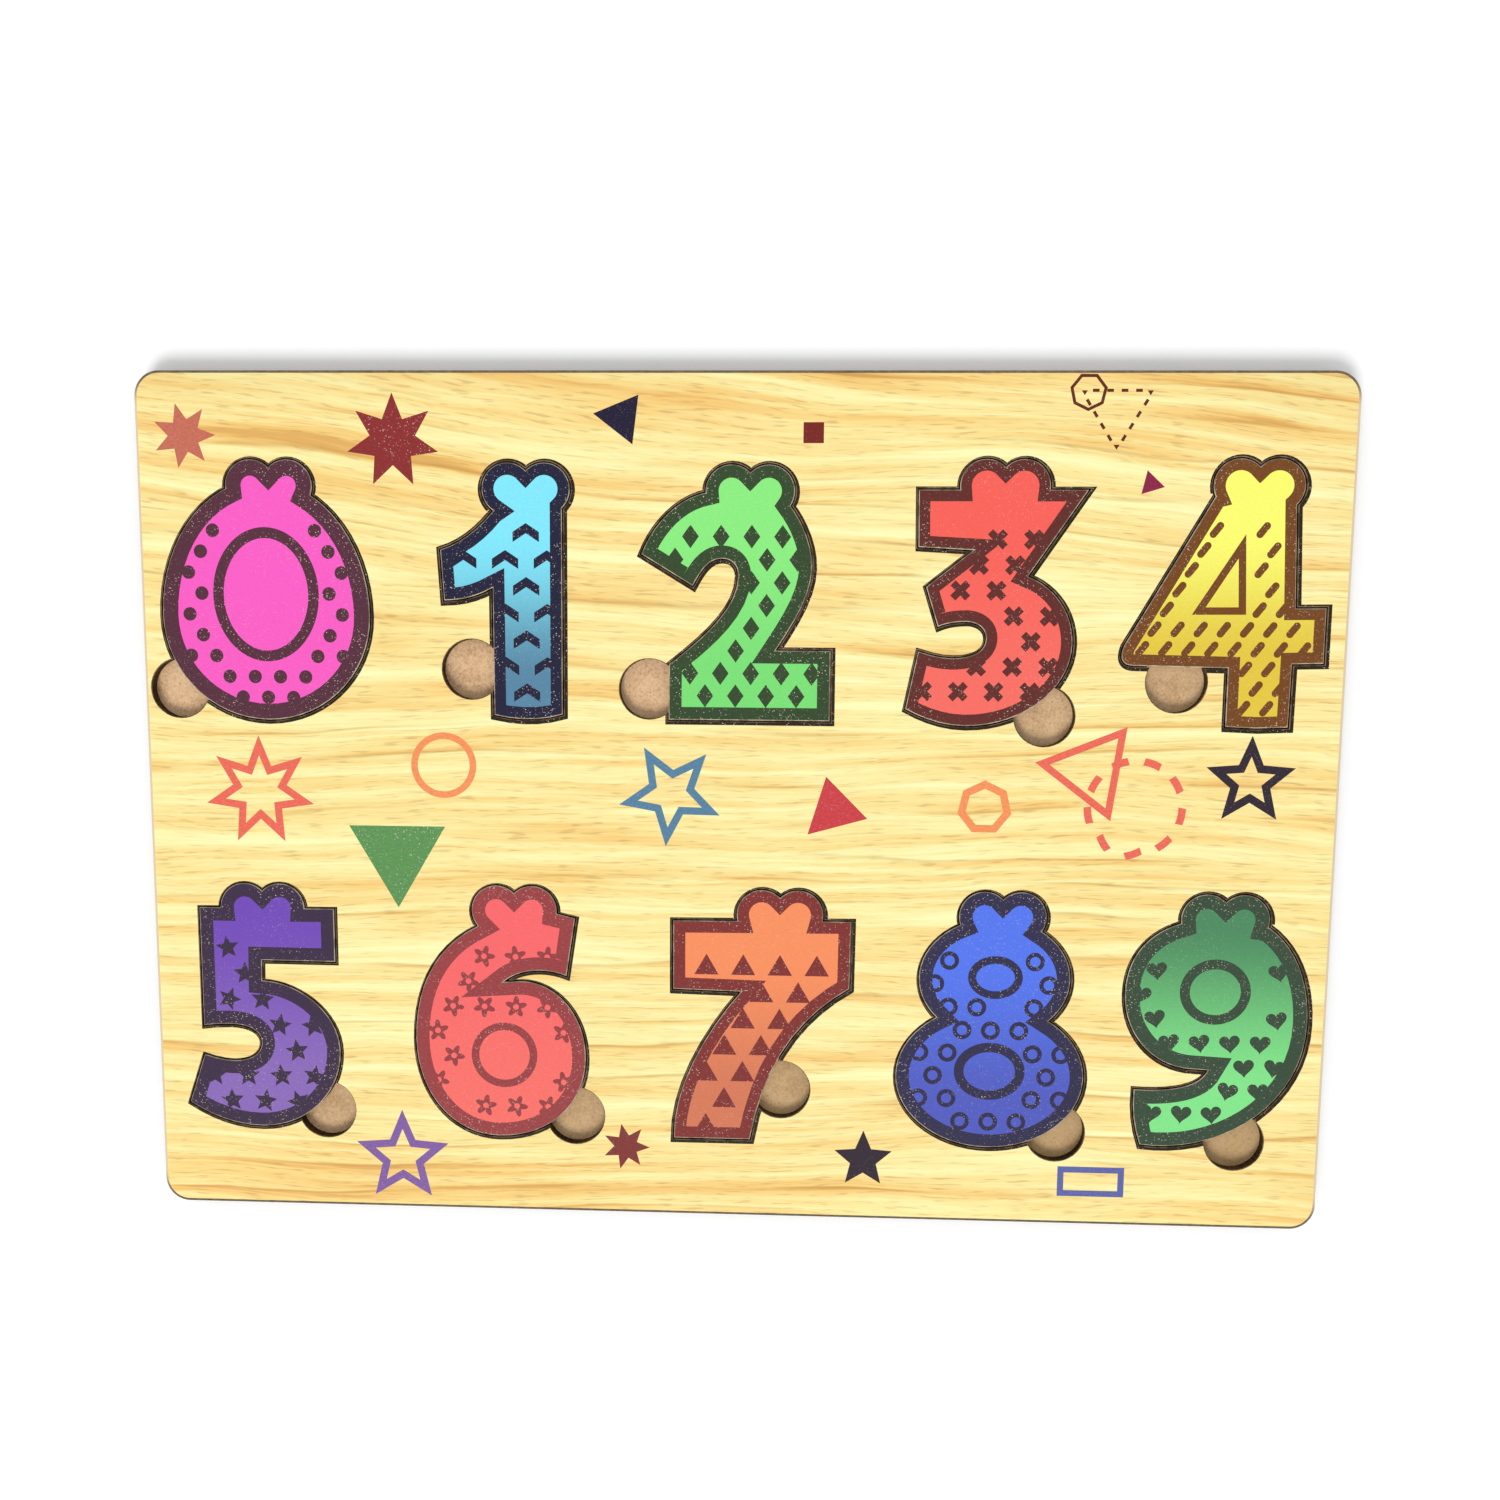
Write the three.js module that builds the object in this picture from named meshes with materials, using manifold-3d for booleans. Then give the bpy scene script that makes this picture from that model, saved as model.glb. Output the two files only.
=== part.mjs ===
// Wooden number puzzle: a backing sheet, a face sheet with ten cut-outs and the ten numbers that fill them.
// Millimetres, +Z up. The puzzle lies flat with its underside on z = 0 and its middle on the Z axis.

import * as THREE from 'three';
import { mergeVertices } from 'three/addons/utils/BufferGeometryUtils.js';
import Module from 'manifold-3d';

const wasm = await Module();
wasm.setup();

// Sheets
const BACK_THICKNESS = 3;
const FACE_THICKNESS = 3;
const BOARD_CORNER_RADIUS = 6.3;
const SAW_GAP = 0.35;

// Numbers: the height is that of the tallest one without its lobes
const NUMBER_HEIGHT = 59.8;
const LOBE_RADIUS = 6.4;
const LOBE_SPACING = 9.2;
const NOTCH_RADIUS = 7.5;

// Layout of the numbers on the board: the column gap is beside the widest one
const COLUMNS = 5;
const COLUMN_GAP = 7.5;
const ROW_GAP = 47.2;
const SIDE_RIM = 1.5;
const END_RIM = 23.6;

// Finishes
const RAW_FIBREBOARD = { color: 0xb08a64, roughness: 0.9, metalness: 0 };
const PRINTED_FACE = { color: 0xf6dc98, roughness: 0.6, metalness: 0 };
const NUMBER_PRINT = { roughness: 0.4, metalness: 0 };

// Fineness of the round edges, and how far a cutter runs past the sheet
const FACET_TURN = THREE.MathUtils.degToRad(6);
const DISC_SIDES = 36;
const SAME_POINT = 1e-6;
const CUT_OVERSHOOT = 1;

// Each number below is drawn on squared paper, in squares from the middle of its cell.
// The crest is the middle between its two top lobes, and the notch is the finger hole at its edge.

// An egg shape: half an ellipse above its widest line and another below it.
function drawEgg(x, y, halfWidth, heightAbove, heightBelow) {
  const egg = new THREE.Shape();
  egg.absellipse(x, y, halfWidth, heightAbove, 0, Math.PI);
  egg.absellipse(x, y, halfWidth, heightBelow, Math.PI, 2 * Math.PI);
  return egg;
}

function drawZero() {
  return {
    outlines: [drawEgg(2.65, -6.5, 26.5, 33.5, 26.2)],
    crest: new THREE.Vector2(4.2, 25.6),
    notch: new THREE.Vector2(-20, -24.9),
    colour: 0xf758c0,
  };
}

function drawOne() {
  const crest = new THREE.Vector2(8.4, 25);
  const shape = new THREE.Shape();
  shape.moveTo(-12.4, -2.4);
  shape.quadraticCurveTo(-5.8, -2.4, -0.1, 0.8);
  shape.lineTo(0, -30.9);
  shape.quadraticCurveTo(9.3, -33, 17.3, -30.6);
  shape.lineTo(17.4, 20.4);
  shape.lineTo(crest.x, crest.y);
  shape.lineTo(0, 19.4);
  shape.quadraticCurveTo(-6, 12.2, -13.2, 10.1);
  shape.closePath();
  return {
    outlines: [shape],
    crest,
    notch: new THREE.Vector2(-5.6, -19.5),
    colour: 0x58b4e6,
  };
}

function drawTwo() {
  const crest = new THREE.Vector2(3.6, 24.7);
  const shape = new THREE.Shape();
  shape.moveTo(-23.3, 9.3);
  shape.lineTo(-10.5, 1.6);
  shape.bezierCurveTo(-8.6, 5.2, -6.6, 8.3, -3.3, 8.3);
  shape.bezierCurveTo(-0.9, 8.3, 0.8, 6.8, 0.8, 4);
  shape.bezierCurveTo(0.7, -4.5, -9, -12, -16.3, -17.9);
  shape.lineTo(-16.4, -31.6);
  shape.lineTo(23.9, -31.6);
  shape.lineTo(23.9, -14.2);
  shape.lineTo(10.2, -14.2);
  shape.bezierCurveTo(15.8, -5.8, 19, 0.2, 19.05, 6.3);
  shape.bezierCurveTo(19.1, 12.2, 15.9, 18.2, 13.4, 21.3);
  shape.lineTo(crest.x, crest.y);
  shape.lineTo(-6.8, 24.4);
  shape.bezierCurveTo(-14.5, 23, -20.5, 16.5, -23.3, 9.3);
  shape.closePath();
  return {
    outlines: [shape],
    crest,
    notch: new THREE.Vector2(-21.3, -24),
    colour: 0x7ee678,
  };
}

function drawThree() {
  const shape = new THREE.Shape();
  shape.moveTo(-15.6, 25.2);
  shape.lineTo(-15.4, 11.4);
  shape.lineTo(-1.9, 10.7);
  shape.lineTo(-13.3, 1.7);
  shape.lineTo(-10.2, -8);
  shape.bezierCurveTo(-8.5, -7.2, -6, -6.7, -3.4, -6.7);
  shape.bezierCurveTo(-0.6, -6.7, 1.7, -8.2, 1.7, -10.8);
  shape.bezierCurveTo(1.7, -13.8, -1.2, -15.7, -6.6, -15.7);
  shape.bezierCurveTo(-9, -15.7, -11.5, -15.2, -14.9, -14.1);
  shape.lineTo(-17.8, -28.3);
  shape.bezierCurveTo(-13.6, -30.6, -8.5, -32.4, -3, -32.4);
  shape.bezierCurveTo(11.4, -32.4, 22.9, -23, 22.9, -12);
  shape.bezierCurveTo(22.9, -4.6, 18.4, 1.9, 11.5, 4.4);
  shape.lineTo(25.6, 25.3);
  shape.closePath();
  return {
    outlines: [shape],
    crest: new THREE.Vector2(5.4, 26.2),
    notch: new THREE.Vector2(16.6, -29.8),
    colour: 0xf9645a,
  };
}

function drawFour() {
  const crest = new THREE.Vector2(6, 26.5);
  const shape = new THREE.Shape();
  shape.moveTo(-4.4, 23.8);
  shape.lineTo(-25, -12.3);
  shape.quadraticCurveTo(-26.6, -16.9, -22.8, -17.1);
  shape.lineTo(0.5, -17.5);
  shape.lineTo(0.5, -31.9);
  shape.quadraticCurveTo(8.1, -32.5, 15.7, -31.9);
  shape.lineTo(15.9, -16.4);
  shape.lineTo(23.5, -16.2);
  shape.lineTo(23.5, -2.8);
  shape.lineTo(16.1, -2.9);
  shape.lineTo(15.1, 22.2);
  shape.lineTo(crest.x, crest.y);
  shape.closePath();
  return {
    outlines: [shape],
    crest,
    notch: new THREE.Vector2(-11.9, -21.1),
    colour: 0xf2d84c,
  };
}

function drawFive() {
  const shape = new THREE.Shape();
  shape.moveTo(-17.3, 25.6);
  shape.quadraticCurveTo(-17.9, 9.8, -17.2, -5.7);
  shape.bezierCurveTo(-15.2, -5.4, -12.8, -5.2, -10.4, -5.2);
  shape.bezierCurveTo(-5.6, -5.2, -2, -6.8, -2, -10);
  shape.bezierCurveTo(-2, -13, -4.8, -15, -9.6, -15);
  shape.bezierCurveTo(-12, -15, -14.5, -14.4, -17.3, -13.5);
  shape.lineTo(-21.6, -26.4);
  shape.bezierCurveTo(-15.8, -30.2, -9.5, -32.5, -2.4, -32.5);
  shape.bezierCurveTo(9.2, -32.5, 18.8, -23.5, 18.8, -12);
  shape.bezierCurveTo(18.8, -1.8, 8.5, 6.2, -1.4, 6.5);
  shape.lineTo(-1.3, 11.9);
  shape.lineTo(18, 11.8);
  shape.lineTo(18, 25.7);
  shape.closePath();
  return {
    outlines: [shape],
    crest: new THREE.Vector2(-0.7, 25.7),
    notch: new THREE.Vector2(15, -27.6),
    colour: 0x8258c4,
  };
}

function drawSix() {
  const crest = new THREE.Vector2(4.4, 26.1);
  const shape = new THREE.Shape();
  shape.moveTo(-5, 21.9);
  shape.bezierCurveTo(-16, 16.5, -21.6, 6, -21.6, -8);
  shape.bezierCurveTo(-21.6, -22.6, -12.5, -33.7, 0, -33.7);
  shape.bezierCurveTo(13.5, -33.7, 22.7, -24.5, 22.7, -12.5);
  shape.bezierCurveTo(22.7, -1, 15.2, 7.6, 6, 7.6);
  shape.lineTo(1.4, 7.3);
  shape.bezierCurveTo(5, 10.5, 11.5, 11.6, 17.8, 9.2);
  shape.lineTo(20.1, 24.3);
  shape.lineTo(15.3, 25.4);
  shape.lineTo(crest.x, crest.y);
  shape.closePath();
  return {
    outlines: [shape],
    crest,
    notch: new THREE.Vector2(20.1, -27.8),
    colour: 0xf9696c,
  };
}

function drawSeven() {
  const shape = new THREE.Shape();
  shape.moveTo(-15.1, 24.2);
  shape.lineTo(-15.1, 6.4);
  shape.lineTo(2.4, 6);
  shape.bezierCurveTo(-7.5, -5.5, -15.2, -20.5, -14.8, -33.1);
  shape.lineTo(4.9, -33.1);
  shape.bezierCurveTo(8.4, -12.4, 17.5, -0.3, 30, 7.2);
  shape.lineTo(30.2, 24.6);
  shape.closePath();
  return {
    outlines: [shape],
    crest: new THREE.Vector2(12.1, 26),
    notch: new THREE.Vector2(12.8, -19.6),
    colour: 0xf98c5c,
  };
}

function drawEight() {
  return {
    outlines: [drawEgg(6.25, 10.5, 19.1, 15.6, 15.6), drawEgg(5.6, -15, 23.9, 18.7, 18.7)],
    crest: new THREE.Vector2(7.9, 26.5),
    notch: new THREE.Vector2(22.8, -29.4),
    colour: 0x4c6ae0,
  };
}

function drawNine() {
  const crest = new THREE.Vector2(2.9, 26.7);
  const shape = new THREE.Shape();
  shape.moveTo(-8, 25.6);
  shape.bezierCurveTo(-16.3, 23.1, -21.3, 16.6, -21.3, 7.5);
  shape.bezierCurveTo(-21.3, -3.4, -13.5, -11.7, -3.5, -11.9);
  shape.lineTo(0.3, -12.1);
  shape.bezierCurveTo(-1.5, -16.5, -8.5, -18, -18.1, -17.5);
  shape.quadraticCurveTo(-18.6, -25, -16.1, -32);
  shape.bezierCurveTo(4, -34.5, 24.5, -21.3, 24.5, 0.5);
  shape.bezierCurveTo(24.5, 11.8, 20.4, 20.4, 13.7, 25);
  shape.lineTo(crest.x, crest.y);
  shape.closePath();
  return {
    outlines: [shape],
    crest,
    notch: new THREE.Vector2(7.6, -30.7),
    colour: 0x66c886,
  };
}

const NUMBERS = [
  drawZero(),
  drawOne(),
  drawTwo(),
  drawThree(),
  drawFour(),
  drawFive(),
  drawSix(),
  drawSeven(),
  drawEight(),
  drawNine(),
];
const ROWS = Math.ceil(NUMBERS.length / COLUMNS);

// Points of a closed outline, counter-clockwise, each once: straight edges whole, curves in small turns.
function outlinePoints(shape) {
  const points = shape.curves.flatMap((curve) => {
    const turn = curve.getTangent(0).angleTo(curve.getTangent(1));
    return curve.getPoints(Math.max(1, Math.ceil(turn / FACET_TURN))).slice(0, -1);
  });
  const distinct = points.filter((point, index) => point.distanceTo(points.at(index - 1)) > SAME_POINT);
  return THREE.ShapeUtils.isClockWise(distinct) ? distinct.reverse() : distinct;
}

function drawnSize({ outlines }) {
  return new THREE.Box2().setFromPoints(outlines.flatMap(outlinePoints)).getSize(new THREE.Vector2());
}

const DRAWN_SIZES = NUMBERS.map(drawnSize);
const SQUARE = NUMBER_HEIGHT / Math.max(...DRAWN_SIZES.map((size) => size.y));
const NUMBER_WIDTH = SQUARE * Math.max(...DRAWN_SIZES.map((size) => size.x));
const COLUMN_PITCH = NUMBER_WIDTH + COLUMN_GAP;
const ROW_PITCH = NUMBER_HEIGHT + ROW_GAP;

// Middle of a number's cell on the board.
function cellMiddle(index) {
  const column = index % COLUMNS;
  const row = Math.floor(index / COLUMNS);
  const x = (column - (COLUMNS - 1) / 2) * COLUMN_PITCH;
  const y = ((ROWS - 1) / 2 - row) * ROW_PITCH;
  return new THREE.Vector2(x, y);
}

// The rim beside the outermost finger notch sets the board's width.
const NOTCH_REACHES = NUMBERS.map(({ notch }, index) => Math.abs(cellMiddle(index).x + notch.x * SQUARE));
const BOARD_WIDTH = 2 * (Math.max(...NOTCH_REACHES) + NOTCH_RADIUS + SIDE_RIM);
const BOARD_HEIGHT = (ROWS - 1) * ROW_PITCH + NUMBER_HEIGHT + 2 * END_RIM;

function inMillimetres(points) {
  return points.map((point) => point.clone().multiplyScalar(SQUARE));
}

// Moves every edge of a counter-clockwise outline outwards by the same distance.
function grow(points, distance) {
  return points.map((point, index) => {
    const before = points.at(index - 1);
    const after = points[(index + 1) % points.length];
    const into = point.clone().sub(before).normalize();
    const onward = after.clone().sub(point).normalize();
    const outward = new THREE.Vector2(into.y + onward.y, -into.x - onward.x);
    const stretch = distance / (1 + into.dot(onward));
    return point.clone().addScaledVector(outward, stretch);
  });
}

// Turns a closed three.js geometry into a solid that can be joined and cut.
function toSolid(geometry) {
  geometry.deleteAttribute('normal');
  geometry.deleteAttribute('uv');
  const merged = mergeVertices(geometry);
  const vertProperties = new Float32Array(merged.attributes.position.array);
  const triVerts = new Uint32Array(merged.index.array);
  return new wasm.Manifold(new wasm.Mesh({ numProp: 3, vertProperties, triVerts }));
}

function toGeometry(solid) {
  const { vertProperties, triVerts } = solid.getMesh();
  const geometry = new THREE.BufferGeometry();
  geometry.setAttribute('position', new THREE.BufferAttribute(vertProperties, 3));
  geometry.setIndex(new THREE.BufferAttribute(triVerts, 1));
  geometry.computeVertexNormals();
  return geometry;
}

function plate(points, depth) {
  return new THREE.ExtrudeGeometry(new THREE.Shape(points), { depth, bevelEnabled: false });
}

function disc(x, y, radius, depth) {
  const geometry = new THREE.CylinderGeometry(radius, radius, depth, DISC_SIDES);
  geometry.rotateX(Math.PI / 2);
  geometry.translate(x, y, depth / 2);
  return geometry;
}

// A number with its two lobes, as plates to be joined; growth widens it all round.
function numberPlates({ outlines, crest }, growth, depth) {
  const bodies = outlines.map((shape) => plate(grow(inMillimetres(outlinePoints(shape)), growth), depth));
  const lobes = [-1, 1].map((side) => {
    const x = crest.x * SQUARE + (side * LOBE_SPACING) / 2;
    return disc(x, crest.y * SQUARE, LOBE_RADIUS + growth, depth);
  });
  return [...bodies, ...lobes];
}

function join(geometries) {
  return geometries.map(toSolid).reduce((whole, piece) => whole.add(piece));
}

function roundedBoard(depth) {
  const x = BOARD_WIDTH / 2 - BOARD_CORNER_RADIUS;
  const y = BOARD_HEIGHT / 2 - BOARD_CORNER_RADIUS;
  const quarter = Math.PI / 2;
  const outline = new THREE.Shape();
  outline.absarc(x, y, BOARD_CORNER_RADIUS, 0, quarter);
  outline.absarc(-x, y, BOARD_CORNER_RADIUS, quarter, 2 * quarter);
  outline.absarc(-x, -y, BOARD_CORNER_RADIUS, 2 * quarter, 3 * quarter);
  outline.absarc(x, -y, BOARD_CORNER_RADIUS, 3 * quarter, 4 * quarter);
  outline.closePath();
  return plate(outlinePoints(outline), depth);
}

// A cut-out is its number widened by the saw gap, with the finger notch, right through the face sheet.
function cutOut(number, index) {
  const depth = FACE_THICKNESS + 2 * CUT_OVERSHOOT;
  const notch = disc(number.notch.x * SQUARE, number.notch.y * SQUARE, NOTCH_RADIUS, depth);
  const middle = cellMiddle(index);
  const plates = [...numberPlates(number, SAW_GAP, depth), notch];
  plates.forEach((geometry) => geometry.translate(middle.x, middle.y, -CUT_OVERSHOOT));
  return join(plates);
}

function addPiece(group, name, geometry, finish) {
  const mesh = new THREE.Mesh(geometry, new THREE.MeshStandardMaterial(finish));
  mesh.name = name;
  group.add(mesh);
  return mesh;
}

const puzzle = new THREE.Group();

addPiece(puzzle, 'back_board', roundedBoard(BACK_THICKNESS), RAW_FIBREBOARD);

const uncutFace = toSolid(roundedBoard(FACE_THICKNESS));
const faceSolid = NUMBERS.map(cutOut).reduce((sheet, hole) => sheet.subtract(hole), uncutFace);
const face = addPiece(puzzle, 'face_board', toGeometry(faceSolid), PRINTED_FACE);
face.position.z = BACK_THICKNESS;

NUMBERS.forEach((number, index) => {
  const geometry = toGeometry(join(numberPlates(number, 0, FACE_THICKNESS)));
  const finish = { ...NUMBER_PRINT, color: number.colour };
  const piece = addPiece(puzzle, `number_${index}`, geometry, finish);
  const middle = cellMiddle(index);
  piece.position.set(middle.x, middle.y, BACK_THICKNESS);
});

export default puzzle;
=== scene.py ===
"""Looks of a wooden number puzzle: a printed face sheet on a backing sheet, and ten loose numbers.

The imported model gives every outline. Lengths are in millimetres on the model's own axes, and become metres
where a mesh is made. Colours are written as they look on a screen.
"""

import logging
import math
from collections.abc import Sequence
from dataclasses import dataclass
from enum import Enum
from functools import partial, reduce
from typing import Any

import bmesh
import bpy
import numpy as np
from mathutils import Color, Matrix, Vector
from mathutils.geometry import delaunay_2d_cdt


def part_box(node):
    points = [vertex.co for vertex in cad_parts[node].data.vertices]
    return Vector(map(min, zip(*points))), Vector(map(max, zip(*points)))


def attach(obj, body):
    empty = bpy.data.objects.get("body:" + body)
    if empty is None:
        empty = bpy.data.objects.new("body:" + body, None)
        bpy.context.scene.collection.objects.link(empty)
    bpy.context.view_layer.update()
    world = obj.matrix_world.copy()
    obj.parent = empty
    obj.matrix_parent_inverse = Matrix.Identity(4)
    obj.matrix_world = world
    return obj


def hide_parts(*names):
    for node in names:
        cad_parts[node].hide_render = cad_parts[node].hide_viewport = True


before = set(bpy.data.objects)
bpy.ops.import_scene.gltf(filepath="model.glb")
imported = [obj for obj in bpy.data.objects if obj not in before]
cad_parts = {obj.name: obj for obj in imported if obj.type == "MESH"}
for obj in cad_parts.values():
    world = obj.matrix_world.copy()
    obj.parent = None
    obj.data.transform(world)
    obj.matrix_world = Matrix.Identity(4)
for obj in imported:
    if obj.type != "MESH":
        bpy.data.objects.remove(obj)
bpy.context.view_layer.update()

LOG = logging.getLogger("number_puzzle")

Loop = np.ndarray
Colour = tuple[int, int, int]
Span = tuple[float, float]
Socket = bpy.types.NodeSocket
Material = bpy.types.Material

MM = 0.001
SAME_POINT = 0.001
SHARP_EDGE = math.radians(30)
MITRE_FLOOR = 0.05
TRIANGLES_IN_HULL = 0
FULL_CHANNEL = 255
WHITE = (FULL_CHANNEL, FULL_CHANNEL, FULL_CHANNEL)
BLACK = (0, 0, 0)
ROUND_SIDES = 64
SMALL_SIDES = 60
HALF_TURN = 180.0
STAR_POINTS = 5
TRIANGLE_SIDES = 3
FLOWER_EYE = 0.26
RING_HOLE = 0.55

# Places of a colour mix's sockets, whose names are not unique
MIX_FACTOR, MIX_FIRST, MIX_SECOND, MIX_RESULT = 0, 6, 7, 2
# Places of a random number's sockets, for the same reason
RANDOM_LEAST, RANDOM_MOST, RANDOM_SEED, RANDOM_RESULT = 2, 3, 8, 1


# Plane figures

def polar(reach: np.ndarray | float, turns: np.ndarray, x: float = 0.0, y: float = 0.0) -> Loop:
    """Returns points at a reach and a turn in radians from a middle."""
    return np.stack([x + reach * np.cos(turns), y + reach * np.sin(turns)], axis=1)


def round_turns(count: int, first: float = 0.0) -> np.ndarray:
    """Returns evenly spread turns in radians, counter-clockwise from a first turn in degrees."""
    return math.radians(first) + np.arange(count) * (math.tau / count)


def ellipse(x: float, y: float, half_width: float, half_height: float, sides: int = ROUND_SIDES) -> Loop:
    """Returns an upright ellipse."""
    return polar(1.0, round_turns(sides)) * (half_width, half_height) + (x, y)


def regular(x: float, y: float, radius: float, sides: int, turn: float = 90.0) -> Loop:
    """Returns a regular polygon with a corner at the given turn in degrees."""
    return polar(radius, round_turns(sides, turn), x, y)


def arc(x: float, y: float, radius: float, first: float, sweep: float) -> Loop:
    """Returns an open arc from a first turn over a sweep, both in degrees."""
    return polar(radius, np.radians(np.linspace(first, first + sweep, ROUND_SIDES)), x, y)


def star(x: float, y: float, radius: float, points: int, turn: float = 90.0, waist: float = 0.45) -> Loop:
    """Returns a star with a point at the given turn in degrees, and a waist as a share of its radius."""
    reach = np.tile([radius, radius * waist], points)
    return polar(reach, round_turns(2 * points, turn), x, y)


def doubled_area(loop: Loop) -> float:
    """Returns twice a loop's area, negative for a clockwise loop."""
    after = np.roll(loop, -1, axis=0)
    return float((loop[:, 0] * after[:, 1] - loop[:, 1] * after[:, 0]).sum())


def figure(*corners: Sequence[float]) -> Loop:
    """Returns a polygon of these corners, turned counter-clockwise if they are not."""
    loop = np.array(corners, float)
    return loop if doubled_area(loop) > 0 else loop[::-1]


def box(x: float, y: float, width: float, height: float) -> Loop:
    """Returns an upright rectangle round a middle."""
    across, up = width / 2, height / 2
    return figure((x - across, y - up), (x + across, y - up), (x + across, y + up), (x - across, y + up))


def diamond(half: float, slim: float = 0.72) -> Loop:
    """Returns an upright diamond, whose width is a share of its height."""
    return figure((half * slim, 0), (0, half), (-half * slim, 0), (0, -half))


def bar(half: float, slim: float = 0.4) -> Loop:
    """Returns an upright bar with round ends, whose width is a share of its length."""
    loop = polar(half * slim, round_turns(SMALL_SIDES, HALF_TURN / SMALL_SIDES))
    return loop + np.sign(loop) * (0.0, half - half * slim)


def chevron(half: float, rise: float = 0.7, thick: float = 0.75) -> Loop:
    """Returns a bent bar that points up, whose half height and thickness are shares of its half width."""
    up, deep = half * rise, half * thick
    return figure((-half, -up), (0, up - deep), (half, -up), (half, deep - up), (0, up), (-half, deep - up))


def cross(half: float, slim: float = 0.34) -> Loop:
    """Returns a cross with four equal arms, whose half width is a share of their length."""
    right = np.array([(slim, -1), (slim, -slim), (1, -slim), (1, slim), (slim, slim), (slim, 1)]) * half
    return figure(*right, *-right)


def flower(half: float, petals: int = 5, swell: float = 0.26) -> Loop:
    """Returns a flower whose round petals swell by a share of its radius."""
    turns = round_turns(SMALL_SIDES)
    return polar(half * (1 - swell + swell * np.cos(petals * turns)), turns)


def heart(half: float, width: float = 16.0, waves: Sequence[float] = (13.0, -5.0, -2.0, -1.0)) -> Loop:
    """Draws the usual heart curve.

    Args:
        half: Half of its width.
        width: Half of the curve's width before it is scaled.
        waves: How high each wave of the curve is.

    Returns:
        A counter-clockwise loop.
    """
    turns = round_turns(SMALL_SIDES)
    x = width * np.sin(turns) ** 3
    y = sum(height * np.cos(order * turns) for order, height in enumerate(waves, start=1))
    return figure(*np.stack([x, y], axis=1) * (half / width))


def moved(loop: Loop, distance: float) -> Loop:
    """Moves every edge of a loop to its right, which is outwards where the material lies on its left.

    Args:
        loop: Points of the loop.
        distance: How far the edges move; a negative distance moves them into the material.

    Returns:
        As many points, with mitred corners.
    """
    ahead = np.roll(loop, -1, axis=0) - loop
    ahead /= np.linalg.norm(ahead, axis=1, keepdims=True)
    right = np.stack([ahead[:, 1], -ahead[:, 0]], axis=1)
    right_before = np.roll(right, 1, axis=0)
    spread = np.maximum(1 + (right * right_before).sum(axis=1), MITRE_FLOOR)
    return loop + (right + right_before) * (distance / spread)[:, None]


def carried(places: np.ndarray, loops: Sequence[Loop], others: Sequence[Loop]) -> Loop:
    """Takes places on some loops over to the like places on others.

    Args:
        places: Places on the loops, one a row.
        loops: The loops they lie on.
        others: As many loops with as many points.

    Returns:
        One place for each, as exact as the triangles' corners are.
    """
    starts, firsts = np.concatenate(loops), np.concatenate(others)
    ahead = np.concatenate([np.roll(loop, -1, axis=0) for loop in loops]) - starts
    lasts = np.concatenate([np.roll(loop, -1, axis=0) for loop in others])
    apart = places[:, None] - starts
    shares = ((apart * ahead).sum(axis=2) / (ahead ** 2).sum(axis=1)).clip(0, 1)
    nearest = np.linalg.norm(apart - shares[..., None] * ahead, axis=2).argmin(axis=1)
    share = np.take_along_axis(shares, nearest[:, None], axis=1)
    return (firsts[nearest] + share * (lasts - firsts)[nearest]).astype(np.float32).astype(float)


def winding(places: np.ndarray, loop: Loop) -> np.ndarray:
    """Counts how often a loop goes round each place.

    Args:
        places: Places to test, one a row.
        loop: Points of the loop.

    Returns:
        One count for each place, negative for clockwise turns.
    """
    after = np.roll(loop, -1, axis=0)
    x, y = places[:, 0, None], places[:, 1, None]
    run, rise = (after - loop).T
    side = run * (y - loop[:, 1]) - (x - loop[:, 0]) * rise
    upward = (loop[:, 1] <= y) & (after[:, 1] > y) & (side > 0)
    downward = (loop[:, 1] > y) & (after[:, 1] <= y) & (side < 0)
    return upward.sum(axis=1) - downward.sum(axis=1)


def divide(loops: Sequence[Loop]) -> tuple[np.ndarray, np.ndarray]:
    """Cuts the plane into triangles along loops, which may cross.

    Args:
        loops: The lines to cut along.

    Returns:
        The triangles' corners, and each triangle's three corner numbers, counter-clockwise.
    """
    corners: list[Vector] = []
    edges: list[tuple[int, int]] = []
    for loop in loops:
        first, count = len(corners), len(loop)
        corners.extend(Vector(point) for point in loop)
        edges.extend((first + step, first + (step + 1) % count) for step in range(count))
    found, _, faces, *_ = delaunay_2d_cdt(corners, edges, [], TRIANGLES_IN_HULL, SAME_POINT)
    return np.array([point[:] for point in found]), np.array(faces)


def rims(triangles: np.ndarray) -> list[list[int]]:
    """Finds the closed edges of a patch of triangles.

    Args:
        triangles: Corner numbers, counter-clockwise.

    Returns:
        Runs of corner numbers, each with the patch on its left.
    """
    steps = [step for a, b, c in triangles.tolist() for step in ((a, b), (b, c), (c, a))]
    known = set(steps)
    onward: dict[int, list[int]] = {}
    for start, end in steps:
        if (end, start) not in known:
            onward.setdefault(start, []).append(end)
    runs = []
    while onward:
        run = [next(iter(onward))]
        while run[-1] in onward:
            ends = onward[run[-1]]
            run.append(ends.pop())
            if not ends:
                del onward[run[-2]]
        runs.append(run[:-1])
    return runs


def grown(loop: Loop, distance: float) -> list[Loop]:
    """Widens an outline, or narrows it by a negative distance, without the knots of a plain offset.

    Args:
        loop: A counter-clockwise outline.
        distance: How far its edges move outwards.

    Returns:
        The outlines that are left.
    """
    offset = moved(loop, distance)
    corners, triangles = divide([offset])
    inside = winding(corners[triangles].mean(axis=1), offset) > 0
    return [corners[run] for run in rims(triangles[inside])]


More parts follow.
